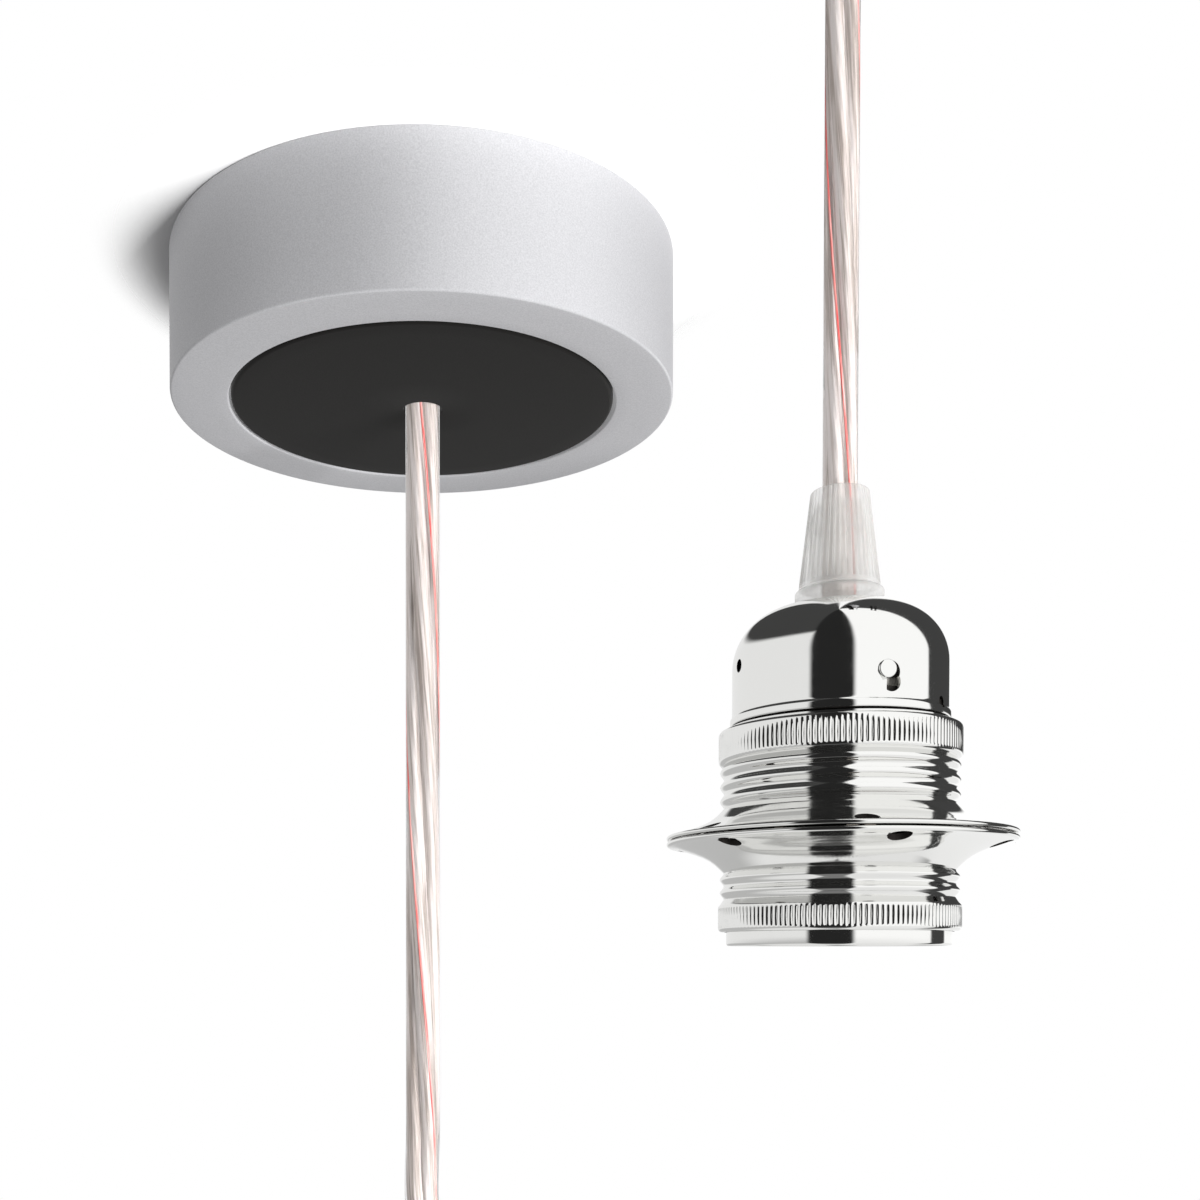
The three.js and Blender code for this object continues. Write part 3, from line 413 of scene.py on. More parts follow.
def let_light_through(tree, hue):
    """Lets shadow rays through a material's surface, in a hue."""
    clear = add_node(tree, "BsdfTransparent", {"Color": colour(hue)}).outputs[0]
    shadow = add_node(tree, "LightPath").outputs["Is Shadow Ray"]
    solid = tree.nodes["Principled BSDF"].outputs[0]
    mixed = add_node(tree, "MixShader", links={0: shadow, 1: solid, 2: clear}).outputs[0]
    tree.links.new(mixed, tree.nodes["Material Output"].inputs["Surface"])


sheath_pvc = grained(
    "clear_pvc", "#fdfdfe", (0.08, 0), (5, 1),
    shine=(0.05, 0.12), relief=(0.15, 0.08), IOR=1.36, Transmission_Weight=1.0,
)
let_light_through(sheath_pvc.node_tree, "#f6f6f7")

# %% [markdown]
# The cord grip is natural polypropylene, moulded with a slightly frosted skin: light goes in and
# comes out scattered, so what lies inside shows as soft grey shapes.

# %% Frosted plastic
FROST_TONES = ("#f4f4f2", "#fcfcfb")
frosted = grained("natural_polypropylene", "#eef0f0", (0.35, 0), (1.2, 2), FROST_TONES, (0.28, 0.4))
tree = frosted.node_tree
shader = tree.nodes["Principled BSDF"]
glow = add_node(tree, "BsdfTranslucent", {"Color": colour("#fdfdfb")}).outputs[0]
GLOW_SHARE = 0.65
flesh = add_node(tree, "MixShader", {0: GLOW_SHARE}, {1: shader.outputs[0], 2: glow}).outputs[0]
see_through = add_node(tree, "BsdfTransparent", {"Color": colour("#fcfcfc")}).outputs[0]
facing = add_node(tree, "LayerWeight", {"Blend": 0.4}).outputs["Facing"]
skin = add_node(
    tree, "MapRange", {"To Min": 0.42, "To Max": 0.52}, {"Value": facing}
).outputs["Result"]
# Light is scattered once on its way through a wall, where it goes in.
going_out = add_node(tree, "NewGeometry").outputs["Backfacing"]
going_in = calculate("SUBTRACT", 1.0, going_out)
skin_share = calculate("MULTIPLY", skin, going_in)
milky = add_node(tree, "MixShader", links={0: skin_share, 1: see_through, 2: flesh}).outputs[0]
tree.links.new(milky, tree.nodes["Material Output"].inputs["Surface"])

# %% [markdown]
# The inner pieces are zinc-plated steel, brass, white nylon, glazed porcelain and a pale
# insulating tube. Each has its own grain.

# %% Finishes of the inner pieces
zinc = grained(
    "zinc_plated_steel", "#b4b7bb", (0.32, 1), (1.2, 3),
    tones=("#a4a8ad", "#c6c9cc"), shine=(0.24, 0.4),
)
brass = grained(
    "drawn_brass", "#cfae62", (0.25, 1), (0.8, 3),
    tones=("#bd9a4e", "#dcc07c"), shine=(0.18, 0.34),
)
nylon = grained(
    "moulded_nylon_white", "#ecebe6", (0.45, 0), (0.5, 2),
    shine=(0.38, 0.52), relief=(0.15, 0.03), Subsurface_Weight=0.1,
)
porcelain = grained(
    "glazed_porcelain", "#f1eee6", (0.12, 0), (3, 2),
    tones=("#ece8df", "#f5f2eb"), relief=(0.12, 0.08), Coat_Weight=0.6,
)
liner_board = grained(
    "pressed_insulating_board", "#b9bca2", (0.62, 0), (0.35, 4),
    tones=("#a9ac92", "#c8cab2"), relief=(0.3, 0.04),
)

# %% [markdown]
# ## Helpers for turned pieces
# Nearly every piece is turned or pressed round, so it is drawn as half of its section and spun.
# The outline grows vertex by vertex with the extrude operator, as by hand.

# %% Turning helpers


def keep_only(piece):
    """Makes one object the active and only selected one."""
    bpy.ops.object.select_all(action="DESELECT")
    piece.select_set(True)
    bpy.context.view_layer.objects.active = piece


def corner(r, z, radius, start, end, steps):
    """Points of a round corner about (r, z), angles in degrees."""
    angles = [math.radians(start + (end - start) * i / steps) for i in range(steps + 1)]
    return [(r + radius * math.cos(angle), z + radius * math.sin(angle)) for angle in angles]


def spin_outline(name, outline, steps, centre_x=0.0, base_z=0.0):
    """Spins an outline of (radius, height) in millimetres around a vertical axis at centre_x.
    The outline closes on itself."""
    bpy.ops.mesh.primitive_plane_add(size=MM, location=(0, 0, 0))
    piece = bpy.context.object
    piece.name = piece.data.name = name
    bpy.ops.object.mode_set(mode="EDIT")
    bpy.ops.mesh.select_all(action="SELECT")
    bpy.ops.mesh.merge(type="CENTER")
    r, z = outline[0]
    bpy.ops.transform.translate(value=(centre_x + r * MM, 0, base_z + z * MM))
    for next_r, next_z in outline[1:] + outline[:1]:
        step = ((next_r - r) * MM, 0, (next_z - z) * MM)
        bpy.ops.mesh.extrude_region_move(TRANSFORM_OT_translate={"value": step})
        r, z = next_r, next_z
    bpy.ops.mesh.select_all(action="SELECT")
    bpy.ops.mesh.spin(steps=steps, angle=2 * math.pi, center=(centre_x, 0, 0), axis=(0, 0, 1))
    bpy.ops.mesh.select_all(action="SELECT")
    bpy.ops.mesh.remove_doubles(threshold=1e-6)
    bpy.ops.mesh.normals_make_consistent(inside=False)
    bpy.ops.object.mode_set(mode="OBJECT")
    print(name, "faces:", len(piece.data.polygons))
    return piece


def dress(piece, material):
    """Gives a piece its only finish."""
    piece.data.materials.clear()
    piece.data.materials.append(material)


def finish_piece(piece, material, slot_name, *replaced, sharp=35):
    """Shades and dresses a piece, ties it to the body and hides the solids it stands for."""
    keep_only(piece)
    bpy.ops.object.transform_apply(location=True, rotation=True, scale=True)
    bpy.ops.object.shade_smooth_by_angle(angle=math.radians(sharp))
    dress(piece, material)
    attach(piece, "root")
    if replaced:
        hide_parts(*replaced)


def combine(piece, others, operation):
    """Cuts other pieces out of one (DIFFERENCE) or melts them into it (UNION), and deletes them."""
    for other in others:
        keep_only(piece)
        change = piece.modifiers.new("combine", "BOOLEAN")
        change.operation = operation
        change.solver = "EXACT"
        change.object = other
        bpy.ops.object.modifier_apply(modifier=change.name)
        bpy.data.objects.remove(other, do_unlink=True)


def soften(piece, width, segments):
    """Rounds the edges of a piece, with a width in millimetres."""
    keep_only(piece)
    edge = piece.modifiers.new("edge", "BEVEL")
    edge.width = width * MM
    edge.segments = segments
    bpy.ops.object.modifier_apply(modifier=edge.name)


def give_second_finish(piece, material, chosen):
    """Gives a second material to the faces whose centre is chosen."""
    piece.data.materials.append(material)
    for face in piece.data.polygons:
        if chosen(face.center):
            face.material_index = 1


def reach_from_axis(place):
    """Distance of a place from the lamp holder's axis."""
    return math.hypot(place.x - holder_x, place.y)


def cutter_pin(radius, depth, place, rotation=(0, 0, 0), sides=32, scale=(1, 1, 1)):
    """A round cutter, millimetres, at a place in millimetres."""
    sizes = {"vertices": sides, "radius": radius * MM, "depth": depth * MM}
    bpy.ops.mesh.primitive_cylinder_add(**sizes, location=Vector(place) * MM, rotation=rotation)
    made = bpy.context.object
    made.scale = scale
    bpy.ops.object.transform_apply(location=True, rotation=True, scale=True)
    return made


# %% [markdown]
# ## The rose
# A cup of spun aluminium. Its rim is turned in, flat and wide, and inside the rim a web carries
# the gland and the screws. The edge between wall and rim is rounded a little, which gives the
# bright line around it.

# %% Rose cup
rose_low, rose_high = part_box("rose_cup")
rose_radius = rose_high[0] / MM
rose_height = -rose_low[2] / MM
disc_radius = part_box("rose_cover_disc")[1][0] / MM
RIM_GAP = 0.4
EDGE = 0.4
WALL = 1.5
WEB_DEPTH = 4.5  # from the rim up to the web
WEB = round(rose_height - WEB_DEPTH, 3)
CUP_SCREW_X = 24
CUP_SCREW_HOLE = 2.1
recess = disc_radius + RIM_GAP
shank_hole = 5.3

rose_outline = (
    corner(rose_radius - 0.3, -0.3, 0.3, 90, 0, 3)
    + [(rose_radius, -6), (rose_radius, -12), (rose_radius, -18)]
    + corner(rose_radius - EDGE, -rose_height + EDGE, EDGE, 0, -90, 8)
    + [(rose_radius - 4, -rose_height), (recess + 3, -rose_height)]
    + corner(recess + 0.35, -rose_height + 0.35, 0.35, 270, 180, 4)
    + [(recess, -WEB), (recess - 10, -WEB), (shank_hole, -WEB)]
    + [(shank_hole, -WEB + WALL), (recess - 10, -WEB + WALL), (recess + WALL, -WEB + WALL)]
    + [(recess + WALL, -rose_height + WALL), (rose_radius - WALL, -rose_height + WALL)]
    + [(rose_radius - WALL, -12), (rose_radius - WALL, 0)]
)
rose_cup = spin_outline("rose_cup_spun", rose_outline, 160)
screw_holes = [cutter_pin(CUP_SCREW_HOLE, 6, (side * CUP_SCREW_X, 0, -WEB)) for side in (-1, 1)]
combine(rose_cup, screw_holes, "DIFFERENCE")
finish_piece(rose_cup, silver, "silver_powder_coat", "rose_cup")

# %% [markdown]
# ## The cover disc
# The disc snaps into the rim and hides the screws. Its edge is rounded, so a thin dark ring stays
# between it and the rim. The pegs that hold it stand on its hidden upper side.

# %% Cover disc
disc_low, disc_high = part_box("rose_cover_disc")
disc_bottom = disc_low[2] / MM
DISC_THICKNESS = 2
DISC_EDGE = 0.7
cord_bore = 3.4
disc_top = disc_bottom + DISC_THICKNESS
disc_outline = (
    corner(cord_bore + 0.3, disc_bottom + 0.3, 0.3, 180, 270, 4)
    + [(12, disc_bottom), (22, disc_bottom), (30, disc_bottom)]
    + corner(disc_radius - DISC_EDGE, disc_bottom + DISC_EDGE, DISC_EDGE, -90, 0, 6)
    + [(disc_radius, disc_top), (20, disc_top), (cord_bore, disc_top)]
)
cover_disc = spin_outline("rose_cover_moulded", disc_outline, 128)
PEG_CIRCLE = 28
PEG_RADIUS = 2
PEG_SINK = 0.1  # how far a peg reaches into the disc
peg_top = disc_high[2] / MM
pegs = []
for degrees in (30, 150, 270):
    angle = math.radians(degrees)
    x, y = PEG_CIRCLE * math.cos(angle), PEG_CIRCLE * math.sin(angle)
    place = (x, y, (disc_top + peg_top) / 2)
    pegs.append(cutter_pin(PEG_RADIUS, peg_top - disc_top + 2 * PEG_SINK, place, sides=24))
combine(cover_disc, pegs, "UNION")
finish_piece(cover_disc, black, "black_satin_plastic", "rose_cover_disc")

# %% [markdown]
# ## The cord
# Three stranded cores are twisted together, with two thin red tracer threads laid over them,
# inside a clear sheath. A section is swept along the route for each of them. The twist is one
# turn in about 200 mm, set so that the tracers cross the front where the photograph shows them.

# %% Twist of the cores
TWIST_PITCH = 203 * MM
FRONT_AT_ROSE = -27 * MM  # height where a tracer crosses the front below the rose
FRONT_AT_HOLDER = -26 * MM  # and above the cord grip


def angle_towards_front(i):
    """The angle, about the tangent, of the direction that faces the camera."""
    _, side, other = cord_frames[i]
    return math.atan2(FRONT.dot(other), FRONT.dot(side))


def nearest_step(steps, height):
    """The step whose place is nearest to a height."""
    return min(steps, key=lambda i: abs(cord_places[i].z - height))


END_STEPS = 60  # the steps in which the heights are looked for
near_rose = nearest_step(range(END_STEPS), FRONT_AT_ROSE)
last = len(cord_places)
near_holder = nearest_step(range(last - END_STEPS, last), FRONT_AT_HOLDER)
between_fronts = cord_distances[near_holder] - cord_distances[near_rose]
turns_wanted = between_fronts / TWIST_PITCH
start_angle = angle_towards_front(near_rose)
end_angle = angle_towards_front(near_holder)
base_turn = -(end_angle - start_angle) / (2 * math.pi)
whole_turns = round(turns_wanted - base_turn) + base_turn
# The pitch is true in the stretches that show. What is missing to a whole turn hides in the coil.
SEEN_BELOW_ROSE = 0.2
SEEN_ABOVE_HOLDER = 0.16
hidden = between_fronts - SEEN_BELOW_ROSE - SEEN_ABOVE_HOLDER
spare_turns = whole_turns - turns_wanted


def twist(distance):
    """Angle of the first core at a distance along the cord."""
    along = distance - cord_distances[near_rose]
    share = min(max((along - SEEN_BELOW_ROSE) / hidden, 0), 1)
    return start_angle - 2 * math.pi * (along / TWIST_PITCH + spare_turns * share)


print("turns of twist:", round(whole_turns, 2))

# %% [markdown]
# A curve with a bevel can't turn an off-centre section by a chosen angle, so the sweep places its
# own rings: one at each step, joined by quads, with a map that follows the strands.

# %% Sweeping


def sweep(name, radius, sides, offset=0.0, offset_angle=0.0, twisted=True, ripple=None, inset=0):
    """A round section carried along the cord. It can sit off the middle and turn with the twist.
    A ripple changes the radius with the angle, and an inset leaves out steps at both ends."""
    chosen = range(inset, len(cord_places) - inset)
    body = bmesh.new()
    uv_layer = body.loops.layers.uv.new("along")
    rings = []
    for i in chosen:
        _, side, other = cord_frames[i]
        turn = twist(cord_distances[i]) + offset_angle if twisted else 0.0
        out = side * math.cos(turn) + other * math.sin(turn)
        across = other * math.cos(turn) - side * math.sin(turn)
        middle = cord_places[i] + out * offset
        ring = []
        for k in range(sides):
            angle = 2 * math.pi * k / sides
            reach = radius * (ripple(angle, cord_distances[i]) if ripple else 1)
            outwards = out * math.cos(angle) + across * math.sin(angle)
            ring.append(body.verts.new(middle + outwards * reach))
        rings.append(ring)
    for i, a, b in zip(chosen, rings, rings[1:]):
        low, high = cord_distances[i], cord_distances[i + 1]
        for k in range(sides):
            m = (k + 1) % sides
            face = body.faces.new((a[k], a[m], b[m], b[k]))
            corners = ((k, low), (k + 1, low), (k + 1, high), (k, high))
            for loop, (u, v) in zip(face.loops, corners):
                loop[uv_layer].uv = (u / sides, v)
    body.faces.new(reversed(rings[0]))
    body.faces.new(rings[-1])
    mesh = bpy.data.meshes.new(name)
    bmesh.ops.recalc_face_normals(body, faces=body.faces)
    body.to_mesh(mesh)
    body.free()
    made = bpy.data.objects.new(name, mesh)
    bpy.context.scene.collection.objects.link(made)
    print(name, "faces:", len(mesh.polygons))
    return made


# %% [markdown]
# Each core is nine bundles of strands around, drawn as a rippled section that turns as it goes.
# The three cores fill the sheath nearly to its wall, as an extruded sheath is drawn over them.

# %% Cores, tracers and sheath
CORE_RADIUS = 1.32 * MM
CORE_OFFSET = 1.3 * MM
BUNDLES = 9
BUNDLE_HEIGHT = 0.055  # as a share of the core's radius
STRAND_PITCH = 110 * MM
TRACER_RADIUS = 0.22 * MM
TRACER_OFFSET = 2.6 * MM


def strand_ripple(angle, distance):
    """Nine strand bundles around a core, which turn with their own pitch."""
    turned = angle + 2 * math.pi * distance / STRAND_PITCH
    return 1 + BUNDLE_HEIGHT * math.cos(BUNDLES * turned)


def lay_in(name, count, section, offset, start, material, ripple=None):
    """Pieces evenly around the cord's middle, which turn with the twist, in a list."""
    made = []
    for number in range(count):
        angle = 2 * math.pi * (number + start) / count
        piece = sweep(f"{name}_{number + 1}", *section, offset, angle, ripple=ripple, inset=1)
        finish_piece(piece, material, "clear_pvc", sharp=180)
        made.append(piece)
    return made


cores = lay_in("cord_core", 3, (CORE_RADIUS, 36), CORE_OFFSET, 0.5, strands, strand_ripple)
tracers = lay_in("cord_tracer", 2, (TRACER_RADIUS, 8), TRACER_OFFSET, 0, tracer_red)
sheath = sweep("cord_sheath", CORD_RADIUS, 24, twisted=False)
finish_piece(sheath, sheath_pvc, "clear_pvc", "cord_drop", "cord_coil", "cord_tail", sharp=180)

# %% [markdown]
# ## Hook and ties
# The hook is a bent rod with a round plate. The ties are flat straps around the coil. Their
# solids already have their true shape, so they only get their finish.

# %% Hook and ties
OWN_FINISH = {"ceiling_hook": silver, "coil_tie_1": black, "coil_tie_2": black, "grip_collet": frosted}
for name, material in OWN_FINISH.items():
    dress(nodes[name], material)
print("dressed:", *OWN_FINISH)

# %% [markdown]
# ## The cord grip
# A ribbed nut of frosted plastic screws onto a body with a collar. The ribs are made by spinning
# the section in four steps a rib and pulling every fourth column in.

# %% Cord grip
cap_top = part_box("holder_cap")[1][2]


def levels(name):
    """Heights of a solid's bottom and top over the cap's top, in millimetres."""
    low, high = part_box(name)
    return (low[2] - cap_top) / MM, (high[2] - cap_top) / MM


nut_bottom, nut_top = levels("grip_nut")
NUT_BOTTOM_RADIUS = 7.2
NUT_TOP_RADIUS = 5.25
NUT_EDGE = 0.6
NUT_RIBS = 38
RIB_STEPS = 4
RIB_DEPTH = 0.32
BAND = 0.6
SHANK = 5.3
ribs_start = nut_bottom + BAND
nut_outline = (
    [(SHANK, nut_bottom)]
    + corner(NUT_BOTTOM_RADIUS - 0.2, nut_bottom + 0.2, 0.2, -90, 0, 3)
    + [(NUT_BOTTOM_RADIUS, ribs_start - 0.2), (NUT_BOTTOM_RADIUS, ribs_start)]
    + [
        (
            NUT_BOTTOM_RADIUS + (NUT_TOP_RADIUS - NUT_BOTTOM_RADIUS) * share,
            ribs_start + (nut_top - NUT_EDGE - ribs_start) * share,
        )
        for share in (0.02, 0.25, 0.5, 0.75, 0.97)
    ]
    + corner(NUT_TOP_RADIUS - NUT_EDGE, nut_top - NUT_EDGE, NUT_EDGE, 0, 90, 4)
    + [(cord_bore, nut_top), (cord_bore, nut_top - 2.4), (4.3, nut_top - 2.4), (SHANK, nut_top - 5.6)]
)


def pull_columns(piece, count, every, band, inner, factor):
    """Pulls one in every so many columns of a spun piece towards the lamp holder's axis,
    between two heights and outside a radius, in metres."""
    keep_only(piece)
    bpy.ops.object.mode_set(mode="EDIT")
    bpy.ops.mesh.select_all(action="DESELECT")
    body = bmesh.from_edit_mesh(piece.data)
    for vertex in body.verts:
        turn = math.atan2(vertex.co.y, vertex.co.x - holder_x) / (2 * math.pi)
        column = round(turn * count * every)
        in_band = band[0] < vertex.co.z < band[1] and reach_from_axis(vertex.co) > inner
        vertex.select_set(in_band and column % every == 0)
    body.select_flush_mode()
    bmesh.update_edit_mesh(piece.data)
    bpy.ops.transform.resize(value=(factor, factor, 1), center_override=(holder_x, 0, 0))
    bpy.ops.object.mode_set(mode="OBJECT")


grip_nut = spin_outline("grip_nut_ribbed", nut_outline, NUT_RIBS * RIB_STEPS, holder_x, cap_top)
rib_band = (cap_top + (ribs_start + 0.1) * MM, cap_top + (nut_top - 0.1) * MM)
rib_factor = 1 - RIB_DEPTH / NUT_TOP_RADIUS
pull_columns(grip_nut, NUT_RIBS, RIB_STEPS, rib_band, (NUT_TOP_RADIUS - 0.75) * MM, rib_factor)
finish_piece(grip_nut, frosted, "frosted_plastic", "grip_nut", sharp=50)

COLLAR_RADIUS = 7.9
NECK_RADIUS = 7.5
COLLAR_TEETH = 48
TOOTH_STEPS = 3
neck_bottom = 0.3
shank_bottom, body_top = levels("grip_body")
body_outline = (
    [(cord_bore, shank_bottom), (5, shank_bottom), (5, neck_bottom), (NECK_RADIUS - 0.2, neck_bottom)]
    + [(NECK_RADIUS, neck_bottom + 0.2), (NECK_RADIUS, 1.3)]
    + [(COLLAR_RADIUS - 0.1, 1.55), (COLLAR_RADIUS, 1.9)]
    + corner(COLLAR_RADIUS - 0.7, 2.6, 0.7, 0, 90, 5)
    + [(5, 3.3), (5, body_top), (cord_bore, body_top)]
)
tooth_columns = COLLAR_TEETH * TOOTH_STEPS
grip_body = spin_outline("grip_body_moulded", body_outline, tooth_columns, holder_x, cap_top)
tooth_band = (cap_top + 1.4 * MM, cap_top + 1.7 * MM)
pull_columns(grip_body, COLLAR_TEETH, TOOTH_STEPS, tooth_band, COLLAR_RADIUS * 0.9 * MM, 0.96)
finish_piece(grip_body, frosted, "frosted_plastic", "grip_body", sharp=50)

# %% [markdown]
# ## The chrome cap
# A deep-drawn dome with a flat top, a wide shoulder and a rolled edge. It has a small hole on the
# left, and a keyhole in which the button of the locking tab stands.

# %% Chrome cap
CAP_FLAT = 8.3
SHOULDER = 10.8
CAP_WALL = 0.8
BEAD_PROUD = 0.35
cap_height = -levels("holder_cap")[0]
cap_radius = CAP_FLAT + SHOULDER
BEAD_HEIGHT = 1.8
bead_top = BEAD_HEIGHT - cap_height
bead_radius = cap_radius + BEAD_PROUD
cap_outline = (
    [(shank_hole, 0), (CAP_FLAT - 1, 0)]
    + corner(CAP_FLAT, -SHOULDER, SHOULDER, 90, 0, 24)
    + [(cap_radius, -14), (cap_radius, bead_top + 0.5)]
    + corner(bead_radius, bead_top + 0.1, BEAD_PROUD, 180, 240, 2)[:1]
    + corner(bead_radius - 0.5, bead_top - 0.5, 0.5, 60, 0, 4)
    + corner(bead_radius - 0.5, -cap_height + 0.5, 0.5, 0, -90, 5)
    + corner(cap_radius - CAP_WALL + 0.2, -cap_height + 0.2, 0.2, 270, 180, 2)
    + [(cap_radius - CAP_WALL, -14)]
    + corner(CAP_FLAT, -SHOULDER, SHOULDER - CAP_WALL, 0, 90, 16)
    + [(shank_hole, -CAP_WALL)]
)
holder_cap = spin_outline("holder_cap_drawn", cap_outline, 144, holder_x, cap_top)

TAB_TURN = 9  # degrees to the right of the camera's side
TAB_DEPTH = 14.8
PEEP_TURN = -81
PEEP_DEPTH = 11
PEEP_RADIUS = 1.2
NOTCH_TURN = 49
NOTCH_DEPTH = 19.2
NOTCH_RADIUS = 1.0
KEYHOLE_RADIUS = 1.9
SLOT_RADIUS = 1.7
SLOT_STRETCH = (1, 1, 1.3)


def around_cap(turn, radius, depth):
    """A place on the cap's wall, in millimetres of the whole scene."""
    angle = math.radians(turn - 90)
    x = holder_x / MM + radius * math.cos(angle)
    return (x, radius * math.sin(angle), cap_top / MM - depth)


def lying_outwards(turn):
    """Rotation that lays a cylinder along the radius at a turn."""
    return (0, math.pi / 2, math.radians(turn - 90))


def cap_cutter(radius, place, facing, length=6, scale=(1, 1, 1)):
    """A cutter that lies through the cap's wall, along the radius at a turn."""
    return cutter_pin(radius, length, around_cap(*place), lying_outwards(facing), scale=scale)


keyhole = cap_cutter(KEYHOLE_RADIUS, (TAB_TURN + 1.5, cap_radius, TAB_DEPTH + 0.4), TAB_TURN)
slot_place = (TAB_TURN + 2.5, cap_radius, TAB_DEPTH + 2.1)
slot = cap_cutter(SLOT_RADIUS, slot_place, TAB_TURN + 2.5, scale=SLOT_STRETCH)
peep = cap_cutter(PEEP_RADIUS, (PEEP_TURN, cap_radius - 0.5, PEEP_DEPTH), PEEP_TURN)
notch = cap_cutter(NOTCH_RADIUS, (NOTCH_TURN, bead_radius, NOTCH_DEPTH), NOTCH_TURN, length=4)
combine(holder_cap, [keyhole, slot, peep, notch], "DIFFERENCE")
finish_piece(holder_cap, chrome, "chrome_plate", "holder_cap", sharp=40)

# %% [markdown]
# The tab is a strip of spring steel behind the wall. Its pressed button stands in the keyhole and
# a narrow stem runs down from it, so it is a disc and two bars with rounded edges, in one piece.

# %% Locking tab
BUTTON_RADIUS = 1.6
BUTTON_HEIGHT = 2.4
button_place = around_cap(TAB_TURN, cap_radius - 0.7, TAB_DEPTH)
button = cutter_pin(BUTTON_RADIUS, BUTTON_HEIGHT, button_place, lying_outwards(TAB_TURN), sides=40)
button.name = "lock_tab_pressed"
soften(button, 0.25, 4)


def flat_bar(turn, radius, depth, sizes, edge_width):
    """A bar (thickness, width, height) in millimetres, upright behind the cap's wall."""
    bpy.ops.mesh.primitive_cube_add(size=1, location=Vector(around_cap(turn, radius, depth)) * MM)
    bar = bpy.context.object
    bar.rotation_euler = (0, 0, math.radians(turn - 90))
    bar.scale = Vector(sizes) * MM
    bpy.ops.object.transform_apply(location=True, rotation=True, scale=True)
    soften(bar, edge_width, 2)
    return bar


STRIP = (0.5, 5, 5.2)
STEM = (0.8, 1.7, 4.6)
strip = flat_bar(TAB_TURN, cap_radius - 1.65, TAB_DEPTH - 1.5, STRIP, 0.12)
stem = flat_bar(TAB_TURN - 1.5, cap_radius - 1.2, TAB_DEPTH + 1.4, STEM, 0.15)
combine(button, [strip, stem], "UNION")
finish_piece(button, chrome, "chrome_plate", "cap_lock_tab")
button_back = (cap_radius - 1.3) * MM
give_second_finish(button, steel_with_painted_shade, lambda place: reach_from_axis(place) < button_back)

# %% [markdown]
# ## Shade rings and sleeve
# The rings clamp a lampshade between their flanges. Each one is pressed from sheet: a knurled
# collar, a rolled thread, a flare with six vents and a flange with a rolled edge. Both share one
# outline, and the lower ring is drawn upside down.

# %% Shade rings
THREAD_RADIUS = 20.0
RING_BORE = THREAD_RADIUS + 0.3
RING_BEAD = 21.5
RING_CREST = 21.2
RING_ROOT = 20.5
CREST_PITCH = 2.65
upper_low, upper_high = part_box("shade_ring_upper")
lower_low, lower_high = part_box("shade_ring_lower")
flange_radius = (upper_high[0] - upper_low[0]) / 2 / MM
flange_z = (upper_low[2] + lower_high[2]) / 2
upper_height = (upper_high[2] - flange_z) / MM
lower_height = (flange_z - lower_low[2]) / MM
KNURLS = 143
KNURL_STEPS = 4
KNURL_DEPTH = 0.26
VENTS = 6
VENT_CIRCLE = 28
VENT_RADIUS = 2.0


def thread_wave(start, pitch, crests, steps=8):
    """A rolled thread's outline: round crests and roots, growing from a root."""
    rise = (RING_CREST - RING_ROOT) / 2
    return [
        (RING_ROOT + rise * (1 - math.cos(2 * math.pi * i / steps)), start + pitch * i / steps)
        for i in range(crests * steps + 1)
    ]


def ring_outline(height, knurl, thread_start, crest_pitch, crests):
    """Outline from the flange's edge up to the collar and back down inside."""
    low, high = knurl
    return (
        corner(flange_radius - 0.42, 0.12 + 0.42, 0.42, -90, 75, 8)
        + [(30.2, 0.98), (29, 1.2), (27.6, 1.66), (26, 2.2), (24.4, 2.85), (23.2, 3.5)]
        + [(22.2, 4.25), (21.4, 5.0)]
        + thread_wave(thread_start, crest_pitch, crests)
        + [(RING_BEAD - 0.35, low - 0.95), (RING_BEAD - 0.05, low - 0.6), (RING_BEAD, low - 0.25)]
        + [(RING_BEAD, low), (RING_BEAD, (low + high) / 2), (RING_BEAD, high)]
        + corner(RING_BEAD - 0.7, height - 0.7, 0.7, 0, 90, 5)
        + [(RING_BORE, height), (RING_BORE, low), (RING_BORE, 5)]
        + [(21.2, 3.9), (22.8, 2.5), (25, 1.45), (27.3, 0.7), (29, 0.2)]
    )


def vent_centres(turn):
    """Centres of the vents in millimetres, the first one at a turn."""
    angles = [math.radians(turn - 90 + 360 / VENTS * number) for number in range(VENTS)]
    return [(holder_x / MM + VENT_CIRCLE * math.cos(a), VENT_CIRCLE * math.sin(a)) for a in angles]


def shade_ring(name, height, knurl, thread, sign, vent_turn):
    """Spins a ring, presses its knurls and punches its vents. The sign is -1 upside down."""
    outline = [(r, sign * z) for r, z in ring_outline(height, knurl, *thread)]
    ring = spin_outline(name, outline, KNURLS * KNURL_STEPS, holder_x, flange_z)
    ends = (flange_z + sign * (knurl[0] - 0.05) * MM, flange_z + sign * (knurl[1] + 0.05) * MM)
    factor = 1 - KNURL_DEPTH / RING_BEAD
    pull_columns(ring, KNURLS, KNURL_STEPS, sorted(ends), (RING_BEAD - 0.1) * MM, factor)
    vent_z = flange_z / MM + sign * 1.5
    vents = [cutter_pin(VENT_RADIUS, 8, (x, y, vent_z), sides=28) for x, y in vent_centres(vent_turn)]
    combine(ring, vents, "DIFFERENCE")
    return ring


def near_a_vent(turn):
    """A test for places on the walls of the vents."""
    centres = [(x * MM, y * MM) for x, y in vent_centres(turn)]
    limit = (VENT_RADIUS + 0.02) * MM
    return lambda place: min(math.hypot(place.x - x, place.y - y) for x, y in centres) < limit


